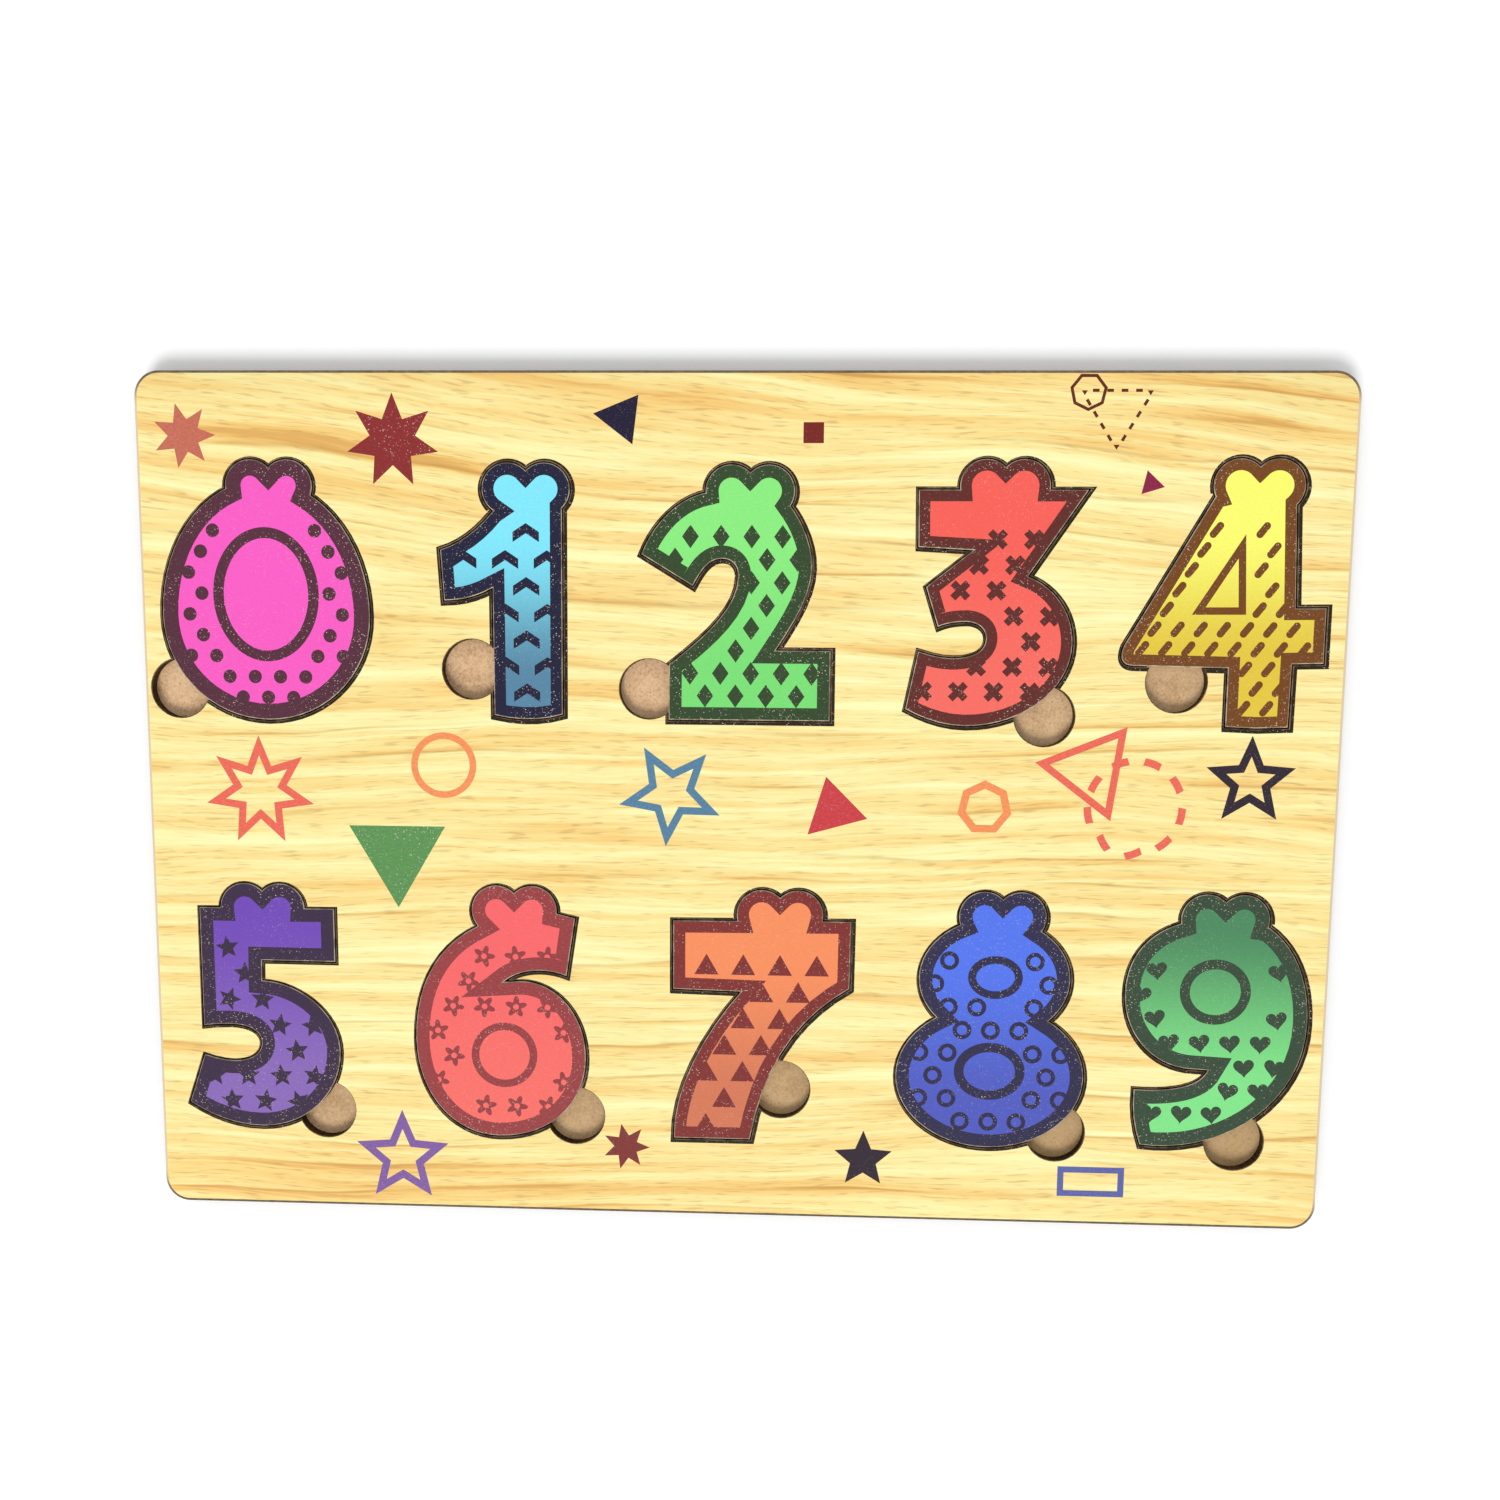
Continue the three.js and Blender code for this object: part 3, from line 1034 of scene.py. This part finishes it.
class Motif(Enum):
    """Plain figures that fill the numbers."""

    DOT = "dot"
    CHEVRON = "chevron"
    DIAMOND = "diamond"
    CROSS = "cross"
    BAR = "bar"
    STAR = "star"
    FLOWER = "flower"
    TRIANGLE = "triangle"
    RING = "ring"
    HEART = "heart"

    def loops(self, size: float) -> list[Loop]:
        """Draws the motif round the origin.

        Args:
            size: Its width or height.

        Returns:
            Its outlines; one inside another is a hole.
        """
        half = size / 2
        return {
            Motif.DOT: [regular(0, 0, half, SMALL_SIDES)],
            Motif.CHEVRON: [chevron(half)],
            Motif.DIAMOND: [diamond(half)],
            Motif.CROSS: [cross(half)],
            Motif.BAR: [bar(half)],
            Motif.STAR: [star(0, 0, half, STAR_POINTS)],
            Motif.FLOWER: [flower(half), regular(0, 0, half * FLOWER_EYE, SMALL_SIDES)],
            Motif.TRIANGLE: [regular(0, 0, half, TRIANGLE_SIDES)],
            Motif.RING: [regular(0, 0, half, SMALL_SIDES), regular(0, 0, half * RING_HOLE, SMALL_SIDES)],
            Motif.HEART: [heart(half)],
        }[self]


# Sheets

@dataclass
class Print:
    """An inked area of a top: what lies in an odd number of its loops, and within others if it has any."""

    ink: Material
    loops: list[Loop]
    within: Sequence[Loop] = ()

    def covers(self, places: np.ndarray) -> np.ndarray:
        """Returns which places are inked."""
        inside = self.odd(places, self.loops)
        return inside & self.odd(places, self.within) if self.within else inside

    @staticmethod
    def odd(places: np.ndarray, loops: Sequence[Loop]) -> np.ndarray:
        """Returns which places lie in an odd number of loops."""
        return sum((winding(places, loop) != 0).astype(int) for loop in loops) % 2 == 1


class Shell:
    """Faces of one piece while it is being put together."""

    def __init__(self) -> None:
        """Starts with no faces."""
        self.materials: list[Material] = []
        self.places: list[tuple[float, float, float]] = []
        self.faces: list[list[int]] = []
        self.dress: list[int] = []

    def wear(self, materials: Sequence[Material]) -> None:
        """Dresses the newest faces, one material for each."""
        self.materials.extend(new for new in dict.fromkeys(materials) if new not in self.materials)
        self.dress.extend(self.materials.index(material) for material in materials)

    def add(self, corners: np.ndarray, height: float, faces: np.ndarray,
            materials: Sequence[Material]) -> None:
        """Adds level faces.

        Args:
            corners: Their corners, seen from above.
            height: Their height.
            faces: Corner numbers of each face.
            materials: Each face's material.
        """
        self.faces.extend((faces + len(self.places)).tolist())
        self.places.extend((x * MM, y * MM, height * MM) for x, y in corners)
        self.wear(materials)

    def band(self, upper: Loop, top: float, lower: Loop, bottom: float, material: Material) -> None:
        """Adds a band of faces between two loops.

        Args:
            upper: The upper loop, with the sheet on its left.
            top: Its height.
            lower: The lower loop, with as many points.
            bottom: Its height.
            material: The band's material.
        """
        first, count = len(self.places), len(upper)
        for loop, height in ((upper, top), (lower, bottom)):
            self.places.extend((x * MM, y * MM, height * MM) for x, y in loop)
        for step in range(count):
            after = (step + 1) % count
            self.faces.append([first + count + step, first + count + after, first + after, first + step])
        self.wear([material] * count)

    def piece(self, name: str) -> bpy.types.Object:
        """Joins the faces into one closed mesh.

        Args:
            name: The piece's name.

        Returns:
            The piece's object, at the origin.
        """
        mesh = bpy.data.meshes.new(name)
        mesh.from_pydata(self.places, [], self.faces)
        mesh.polygons.foreach_set("material_index", self.dress)
        for material in self.materials:
            mesh.materials.append(material)
        shape = bmesh.new()
        shape.from_mesh(mesh)
        bmesh.ops.remove_doubles(shape, verts=shape.verts, dist=SAME_POINT * MM)
        loose = [vertex for vertex in shape.verts if not vertex.link_faces]
        bmesh.ops.delete(shape, geom=loose, context="VERTS")
        shape.to_mesh(mesh)
        shape.free()
        mesh.shade_smooth()
        mesh.set_sharp_from_angle(angle=SHARP_EDGE)
        piece = bpy.data.objects.new(name, mesh)
        bpy.context.scene.collection.objects.link(piece)
        return piece


@dataclass
class Sheet:
    """A flat piece cut from sheet stock: a top that may be printed, a narrow rim and charred walls."""

    name: str
    node: str
    body: str
    slot: str
    stock: Stock
    rim: float = 0.2

    def ground(self) -> Material:
        """Returns what the top shows where nothing is printed over it."""
        return self.stock.raw

    def prints(self) -> list[Print]:
        """Returns what is printed on the top, each over the one before."""
        return []

    def edging(self, edge: Loop) -> tuple[Material, float]:
        """Returns what the rim along an edge of the top shows, and how far it reaches in."""
        return self.stock.rim, self.rim

    def build(self) -> None:
        """Makes the piece in the model piece's place, and sets it on its body."""
        low, high = (corner.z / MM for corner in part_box(self.node))
        feet = top_outlines(self.node)
        outlines = [moved(loop, -self.edging(loop)[1]) for loop in feet]
        prints = self.prints()
        corners, triangles = divide(outlines + [loop for each in prints for loop in each.loops])
        triangles = triangles[self.solid(corners, triangles, outlines)]
        middles = corners[triangles].mean(axis=1)
        inks = np.full(len(triangles), self.ground(), object)
        for each in prints:
            inks[each.covers(middles)] = each.ink
        shell = Shell()
        shell.add(corners, high, triangles, inks.tolist())
        edges = [corners[run] for run in rims(triangles)]
        self.enclose(shell, edges, [carried(edge, outlines, feet) for edge in edges], (low, high))
        piece = shell.piece(self.name)
        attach(piece, self.body)
        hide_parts(self.node)
        LOG.info("%s: %d faces, %d inked areas", self.name, len(piece.data.polygons), len(prints))

    @staticmethod
    def solid(corners: np.ndarray, triangles: np.ndarray, outlines: Sequence[Loop]) -> np.ndarray:
        """Returns which triangles lie inside the outlines and outside their cut-outs."""
        middles = corners[triangles].mean(axis=1)
        return sum(winding(middles, loop) for loop in outlines) == 1

    def enclose(self, shell: Shell, edges: Sequence[Loop], shoulders: Sequence[Loop],
                heights: Span) -> None:
        """Closes the sheet below its top.

        Args:
            shell: What holds the faces.
            edges: The top's edges.
            shoulders: Where the rim along each edge meets the wall.
            heights: Heights of the underside and of the top.
        """
        low, high = heights
        for edge, shoulder in zip(edges, shoulders):
            shell.band(edge, high, shoulder, high - self.rim, self.edging(edge)[0])
            shell.band(shoulder, high - self.rim, shoulder, low, self.stock.wall)
        corners, triangles = divide(shoulders)
        under = triangles[self.solid(corners, triangles, shoulders)][:, ::-1]
        shell.add(corners, low, under, [self.stock.raw] * len(under))


@dataclass(frozen=True)
class Counter:
    """The ring or frame printed round a number's closed counter."""

    outer: Loop
    line: float


@dataclass(frozen=True, kw_only=True)
class NumberDesign:
    """Colours and pattern of one number, and how far its dark line was printed past its edge."""

    upper: Colour
    lower: Colour
    border: Colour
    border_width: float
    spread: float
    motif: Motif
    motif_size: float
    pitch: Span
    turn: float = 0.0
    sway: float = 0.0
    gradient: Span = (0.15, 0.75)
    counters: tuple[Counter, ...] = ()


@dataclass(kw_only=True)
class PrintedNumber(Sheet):
    """A loose number: a bordered print with a field of motifs and its counters."""

    digit: int
    design: NumberDesign
    fields: MotifField
    bare_crest: float = 17.0
    counter_clearance: float = 0.4
    # painted glints on the fill are fainter than on the border
    fill_glint_share: float = 0.3
    fill_raster_share: float = 0.05

    def __post_init__(self) -> None:
        """Makes the number's two inks."""
        low, high = (corner.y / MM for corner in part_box(self.node))
        design = self.design
        border = Ink(name=f"{self.node}_border", upper=design.border, lower=design.border)
        fill = Ink(name=f"{self.node}_fill", upper=design.upper, lower=design.lower,
                   gradient=tuple(low + share * (high - low) for share in design.gradient),
                   glint_share=self.fill_glint_share, raster_share=self.fill_raster_share)
        self.border, self.fill = border.material(), fill.material()

    def ground(self) -> Material:
        """Returns the border's ink, which runs to the edge."""
        return self.border

    def prints(self) -> list[Print]:
        """Lays out the print.

        Returns:
            The fill, the motifs on it and the counters.
        """
        fill = grown(top_outlines(self.node)[0], -self.design.border_width)
        areas = [Print(self.fill, fill), Print(self.border, self.spared(self.motifs(), fill), fill)]
        for counter in self.design.counters:
            areas.append(Print(self.border, [counter.outer]))
            areas.append(Print(self.fill, [moved(counter.outer, -counter.line)]))
        return areas

    def spared(self, motifs: Sequence[Loop], fill: Sequence[Loop]) -> list[Loop]:
        """Drops the motifs that would show less than half, or that crowd a counter.

        Args:
            motifs: All motifs of the field.
            fill: The outlines that they are printed in.

        Returns:
            The motifs that stay.
        """
        middles = np.array([motif.mean(axis=0) for motif in motifs])
        reach = self.design.motif_size / 2 + self.counter_clearance
        keep = Print.odd(middles, fill)
        for counter in self.design.counters:
            keep &= winding(middles, moved(counter.outer, reach)) == 0
        return [motif for motif, kept in zip(motifs, keep) if kept]

    def motifs(self) -> list[Loop]:
        """Lays out the field of motifs, which leaves the number's crest bare.

        Returns:
            The motifs' outlines.
        """
        design = self.design
        low, high = (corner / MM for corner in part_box(self.node))
        width, height = high.x - low.x, high.y - low.y - self.bare_crest
        columns = math.ceil(width / design.pitch[0]) + 1
        rows = math.floor(height / design.pitch[1]) + 1
        values = {
            "Columns": columns,
            "Rows": rows,
            "Width": (columns - 1) * design.pitch[0],
            "Height": (rows - 1) * design.pitch[1],
            "Stagger": design.pitch[0] / 2,
            "Turn": math.radians(design.turn),
            "Sway": math.radians(design.sway),
            "Seed": self.digit,
            "Centre": ((low.x + high.x) / 2, low.y + height / 2, 0.0),
            "Ink": self.border,
        }
        return self.fields.lay(flat_mesh(design.motif.loops(design.motif_size)), values)


@dataclass(frozen=True)
class Ornament:
    """A plain figure printed on the wood, filled or drawn with a line."""

    ink: str
    outline: Loop
    line: float | None = None

    def loops(self) -> list[Loop]:
        """Returns the figure's edges."""
        return [self.outline] if self.line is None else [self.outline, moved(self.outline, -self.line)]


@dataclass(frozen=True)
class Dashes:
    """A dashed figure printed on the wood: how many dashes a line has, and their length, width and bend."""

    ink: str
    lines: tuple[Loop, ...]
    count: int
    length: float
    width: float
    radius: float = math.inf

    def loops(self, ink: Material, dashed: DashedLine) -> list[Loop]:
        """Returns the dashes' edges."""
        values = {"Dashes": self.count, "Length": self.length, "Width": self.width,
                  "Bend": 1 / (2 * self.radius), "Ink": ink}
        return dashed.lay(flat_mesh(self.lines, filled=False), values)


@dataclass(kw_only=True)
class FaceSheet(Sheet):
    """The printed sheet with the cut-outs, the dark line round each of them and the ornaments."""

    numbers: Sequence[PrintedNumber]
    inks: dict[str, Colour]
    ornaments: Sequence[Ornament]
    dashes: Sequence[Dashes]
    # shares of the painted glints: full on these inks, dull on the others
    glinting: Sequence[str] = ("maroon", "leaf")
    bright_glints: float = 1.0
    dull_glints: float = 0.25
    line_colour: Colour = (44, 35, 26)
    print_shift: Span = (0.2, -0.2)
    # where the char of the long sides gives way to the painted highlight of the ends
    charred_band: Span = (9.0, 2.0)
    outer_rim: float = 0.64

    def __post_init__(self) -> None:
        """Makes the finish of the outer edge."""
        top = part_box(self.node)[1].y / MM
        start, end = (top - inset for inset in self.charred_band)
        # the outer edge: char along the long sides, a painted highlight at the ends
        self.charred = CharredEdgeWithHighlight(long_sides=(start, end)).material()

    def ground(self) -> Material:
        """Returns the printed wood."""
        return PrintedWood().material()

    def edging(self, edge: Loop) -> tuple[Material, float]:
        """Returns the outer rim, charred but with painted highlights at the ends, and the stock's for
        clockwise cut-outs.
        """
        return (self.charred, self.outer_rim) if doubled_area(edge) > 0 else super().edging(edge)

    def prints(self) -> list[Print]:
        """Lays out the print.

        Returns:
            The dark lines round the cut-outs, then the ornaments.
        """
        dark = Ink(name="cut_line", upper=self.line_colour, lower=self.line_colour).material()
        inks = {}
        # each ink's painted glints, bright or dull
        for name, colour in self.inks.items():
            share = self.bright_glints if name in self.glinting else self.dull_glints
            inks[name] = Ink(name=name, upper=colour, lower=colour, glint_share=share).material()
        dashed = DashedLine()
        areas = []
        for number in self.numbers:
            outline = top_outlines(number.node)[0] + self.print_shift
            areas.append(Print(dark, grown(outline, number.design.spread)))
        areas.extend(Print(inks[each.ink], each.loops()) for each in self.ornaments)
        areas.extend(Print(inks[each.ink], each.loops(inks[each.ink], dashed)) for each in self.dashes)
        return areas


# Studio

@dataclass
class Studio:
    """White paper under the puzzle, soft light from the lower left, and the camera."""

    eye: tuple[float, float, float] = (20.014, 37.91, 362.079)
    gaze: tuple[float, float, float] = (-0.04385, -0.11808, -0.99204)
    upright: tuple[float, float, float] = (-0.01414, 0.99296, -0.11756)
    image_side: float = 1500.0
    focal_pixels: float = 1420.76
    optical_drop_pixels: float = 75.0
    sensor: float = 36.0
    floor_reach: float = 3000.0
    floor_gap: float = 0.05
    lamp_from: tuple[float, float, float] = (-0.2, -0.85, 1.0)
    lamp_distance: float = 20.0
    lamp_side: float = 8.0
    lamp_share: float = 0.435
    sky_share: float = 0.61

    def build(self) -> None:
        """Makes the floor, the light and the camera."""
        self.lay_floor()
        self.hang_lamp()
        self.paint_sky()
        self.aim_camera()
        bpy.context.scene.view_settings.view_transform = "Standard"

    def lay_floor(self) -> None:
        """Lays the paper just under the puzzle."""
        reach, level = self.floor_reach * MM, -self.floor_gap * MM
        mesh = bpy.data.meshes.new("floor")
        corners = [(x, y, level) for x, y in box(0.0, 0.0, 2 * reach, 2 * reach)]
        mesh.from_pydata(corners, [], [range(len(corners))])
        mesh.materials.append(FloorPaper().material())
        floor = bpy.data.objects.new("floor", mesh)
        bpy.context.scene.collection.objects.link(floor)

    def hang_lamp(self) -> None:
        """Hangs a large soft lamp, which gives a level white surface its share of full brightness."""
        towards = Vector(self.lamp_from).normalized()
        lamp = bpy.data.lights.new("softbox", "AREA")
        lamp.size = self.lamp_side
        lamp.energy = self.lamp_share * (math.pi * self.lamp_distance) ** 2 / towards.z
        holder = bpy.data.objects.new("softbox", lamp)
        facing = towards.to_track_quat("Z", "Y").to_matrix().to_4x4()
        holder.matrix_world = Matrix.Translation(towards * self.lamp_distance) @ facing
        bpy.context.scene.collection.objects.link(holder)

    def paint_sky(self) -> None:
        """Makes the sky white to the eye and in reflections, and dimmer as a light."""
        world = bpy.data.worlds.new("white_sky")
        world.use_nodes = True
        world.node_tree.nodes.clear()
        graph = Graph(world.node_tree)
        path = graph.add("ShaderNodeLightPath").outputs
        seen = graph.math("MAXIMUM", path["Is Camera Ray"], path["Is Glossy Ray"])
        seen = graph.math("MAXIMUM", seen, path["Is Transmission Ray"])
        limits = {"Value": seen, "To Min": self.sky_share, "To Max": 1.0}
        strength = graph.add("ShaderNodeMapRange", limits).outputs["Result"]
        sky = graph.add("ShaderNodeBackground", {"Color": linear(WHITE), "Strength": strength})
        graph.add("ShaderNodeOutputWorld", {"Surface": sky.outputs["Background"]})
        bpy.context.scene.world = world

    def aim_camera(self) -> None:
        """Sets up the camera at the photograph's own viewpoint, almost straight above the board."""
        lens = bpy.data.cameras.new("camera")
        lens.sensor_width = self.sensor
        lens.lens = self.sensor * self.focal_pixels / self.image_side
        lens.shift_y = self.optical_drop_pixels / self.image_side
        lens.clip_start = MM
        camera = bpy.data.objects.new("camera", lens)
        back = -Vector(self.gaze).normalized()
        right = Vector(self.upright).cross(back).normalized()
        axes = Matrix((right, back.cross(right), back)).transposed()
        camera.matrix_world = Matrix.Translation(Vector(self.eye) * MM) @ axes.to_4x4()
        bpy.context.scene.collection.objects.link(camera)
        bpy.context.scene.camera = camera


# The puzzle's own colours, patterns and places

DESIGNS = (
    NumberDesign(upper=(251, 97, 200), lower=(251, 97, 198), border=(91, 52, 66),
                 border_width=4.0, spread=0.9, motif=Motif.DOT, motif_size=3.4, pitch=(6.5, 5.2),
                 counters=(Counter(ellipse(-118.2, 52.2, 13.5, 16.7), 2.7),)),
    NumberDesign(upper=(133, 235, 255), lower=(91, 137, 166), border=(38, 38, 63),
                 border_width=3.0, spread=1.15, motif=Motif.CHEVRON, motif_size=6.6, pitch=(10.5, 6.6)),
    NumberDesign(upper=(142, 240, 131), lower=(125, 226, 121), border=(57, 78, 50),
                 border_width=3.2, spread=1.05, motif=Motif.DIAMOND, motif_size=5.8, pitch=(7.6, 5.6)),
    NumberDesign(upper=(250, 101, 91), lower=(250, 113, 102), border=(103, 50, 46),
                 border_width=2.8, spread=0.95, motif=Motif.CROSS, motif_size=5.2, pitch=(8.8, 6.2),
                 turn=45.0),
    NumberDesign(upper=(255, 255, 116), lower=(231, 202, 68), border=(122, 75, 38),
                 border_width=2.8, spread=1.15, motif=Motif.BAR, motif_size=4.4, pitch=(5.6, 4.8),
                 turn=-38.0, gradient=(0.25, 0.75),
                 counters=(Counter(figure((124.3, 68.4), (112.1, 48.9), (125.2, 49.0)), 1.8),)),
    NumberDesign(upper=(117, 78, 186), lower=(141, 109, 187), border=(66, 51, 74),
                 border_width=3.5, spread=0.75, motif=Motif.STAR, motif_size=6.4, pitch=(8.8, 6.8),
                 sway=24.0, gradient=(0.15, 0.9)),
    NumberDesign(upper=(250, 108, 110), lower=(250, 116, 108), border=(159, 70, 72),
                 border_width=3.5, spread=0.85, motif=Motif.FLOWER, motif_size=5.8, pitch=(8.2, 6.6),
                 sway=30.0,
                 counters=(Counter(ellipse(-59.0, -65.5, 8.6, 8.6), 2.0),)),
    NumberDesign(upper=(250, 147, 98), lower=(215, 124, 91), border=(134, 56, 53),
                 border_width=3.1, spread=1.05, motif=Motif.TRIANGLE, motif_size=7.2, pitch=(9.4, 7.0)),
    NumberDesign(upper=(88, 122, 240), lower=(85, 95, 192), border=(55, 52, 81),
                 border_width=3.4, spread=0.85, motif=Motif.RING, motif_size=4.8, pitch=(7.2, 6.0),
                 counters=(Counter(ellipse(67.0, -42.6, 6.9, 5.55), 2.0),
                           Counter(ellipse(66.1, -67.1, 9.0, 7.5), 2.45))),
    NumberDesign(upper=(80, 140, 98), lower=(134, 232, 142), border=(62, 81, 63),
                 border_width=3.6, spread=1.05, motif=Motif.HEART, motif_size=5.2, pitch=(7.6, 6.2),
                 sway=14.0, gradient=(0.2, 0.9),
                 counters=(Counter(ellipse(122.2, -45.3, 8.85, 8.4), 2.5),)),
)

INKS = {
    "brick": (207, 117, 96),
    "maroon": (147, 53, 54),
    "cordovan": (135, 60, 56),
    "midnight": (40, 34, 58),
    "claret": (126, 45, 39),
    "plum": (146, 42, 76),
    "coral": (245, 114, 95),
    "tangerine": (255, 155, 99),
    "leaf": (99, 154, 90),
    "steel": (94, 137, 167),
    "crimson": (211, 71, 77),
    "aubergine": (55, 44, 55),
    "violet": (137, 101, 169),
    "indigo": (101, 109, 174),
    "russet": (104, 46, 31),
}

# Corners of the dashed triangle, and of the small solid marks at them
DASHED_CORNERS = np.array([(83.5, 102.3), (92.3, 88.3), (100.7, 102.3)])
CORNER_MARK_SHARE = 0.085
FIRST_DASH, LAST_DASH = 0.2, 0.8


def corner_mark(corner: np.ndarray) -> Loop:
    """Returns a small copy of the dashed triangle, drawn in to one of its corners."""
    return corner + (DASHED_CORNERS - corner) * CORNER_MARK_SHARE


def dashed_side(start: np.ndarray, end: np.ndarray) -> Loop:
    """Returns the stretch of a triangle's side between its first dash and its last."""
    return np.array([start + (end - start) * share for share in (FIRST_DASH, LAST_DASH)])


ORNAMENTS = (
    Ornament("brick", star(-137.8, 91.2, 8.1, points=7, turn=104.0, waist=0.5)),
    Ornament("maroon", star(-85.2, 90.0, 11.7, points=7, waist=0.5)),
    Ornament("midnight", figure((-35.2, 96.7), (-24.0, 101.2), (-25.5, 89.3))),
    Ornament("claret", box(19.0, 92.2, 5.0, 5.0)),
    Ornament("russet", regular(85.2, 102.0, 4.6, sides=7, turn=270.0), line=0.75),
    Ornament("plum", figure((100.0, 83.5), (98.7, 77.8), (104.3, 79.5))),
    Ornament("coral", star(-121.3, 2.5, 14.3, points=7, waist=0.5), line=1.9),
    Ornament("tangerine", ellipse(-73.7, 9.7, 8.35, 8.35), line=1.7),
    Ornament("leaf", figure((-98.4, -6.0), (-73.6, -6.0), (-86.0, -27.1))),
    Ornament("steel", star(-15.8, 3.2, 13.5, points=5, turn=120.5), line=1.9),
    Ornament("crimson", figure((23.3, 8.0), (33.8, -2.5), (18.8, -6.7))),
    Ornament("tangerine", regular(63.0, 0.7, 6.9, sides=7), line=1.9),
    Ornament("coral", figure((75.2, 12.2), (97.7, 21.3), (94.3, -2.3)), line=1.8),
    Ornament("aubergine", star(128.3, 8.0, 11.5, points=5), line=2.0),
    Ornament("violet", star(-86.2, -93.6, 12.8, points=5), line=2.0),
    Ornament("cordovan", star(-27.3, -89.3, 6.2, points=7, turn=101.5, waist=0.5)),
    Ornament("aubergine", star(34.3, -91.3, 7.8, points=5)),
    Ornament("indigo", figure((84.3, -99.7), (101.3, -99.7), (101.3, -91.8), (84.3, -91.8)), line=1.6),
    *(Ornament("russet", corner_mark(corner)) for corner in DASHED_CORNERS),
)

NEXT_CORNERS = np.roll(DASHED_CORNERS, -1, axis=0)
DASHED_SIDES = tuple(dashed_side(*ends) for ends in zip(DASHED_CORNERS, NEXT_CORNERS))
DASHED_FIGURES = (
    Dashes("russet", DASHED_SIDES, count=4, length=1.6, width=0.75),
    Dashes("coral", (arc(100.2, 1.2, 11.7, first=270.0, sweep=320.0),), count=9, length=4.2, width=1.9,
           radius=11.7),
)


def main() -> None:
    """Builds the puzzle's pieces in order, then the studio."""
    logging.basicConfig(level=logging.INFO, format="%(name)s: %(message)s")
    wall, raw = CharredWall().material(), RawFibreboard().material()
    number_rim = ScorchedRim(name="number_rim", pale=(200, 188, 164), burnt=(152, 138, 116))
    board_rim = ScorchedRim(name="board_rim", pale=(140, 116, 88), burnt=(88, 70, 50))
    number_stock, board_stock = (Stock(rim.material(), wall, raw) for rim in (number_rim, board_rim))
    Sheet("back_sheet", "back_board", "board", "raw_fibreboard", board_stock).build()
    fields = MotifField()
    numbers = []
    for digit, design in enumerate(DESIGNS):
        node = f"number_{digit}"
        number = PrintedNumber(f"printed_{node}", node, node, f"{node}_print", number_stock,
                               digit=digit, design=design, fields=fields)
        number.build()
        numbers.append(number)
    FaceSheet("face_sheet", "face_board", "board", "printed_face", board_stock, numbers=numbers, inks=INKS,
              ornaments=ORNAMENTS, dashes=DASHED_FIGURES).build()
    Studio().build()


if __name__ == "__main__":
    main()
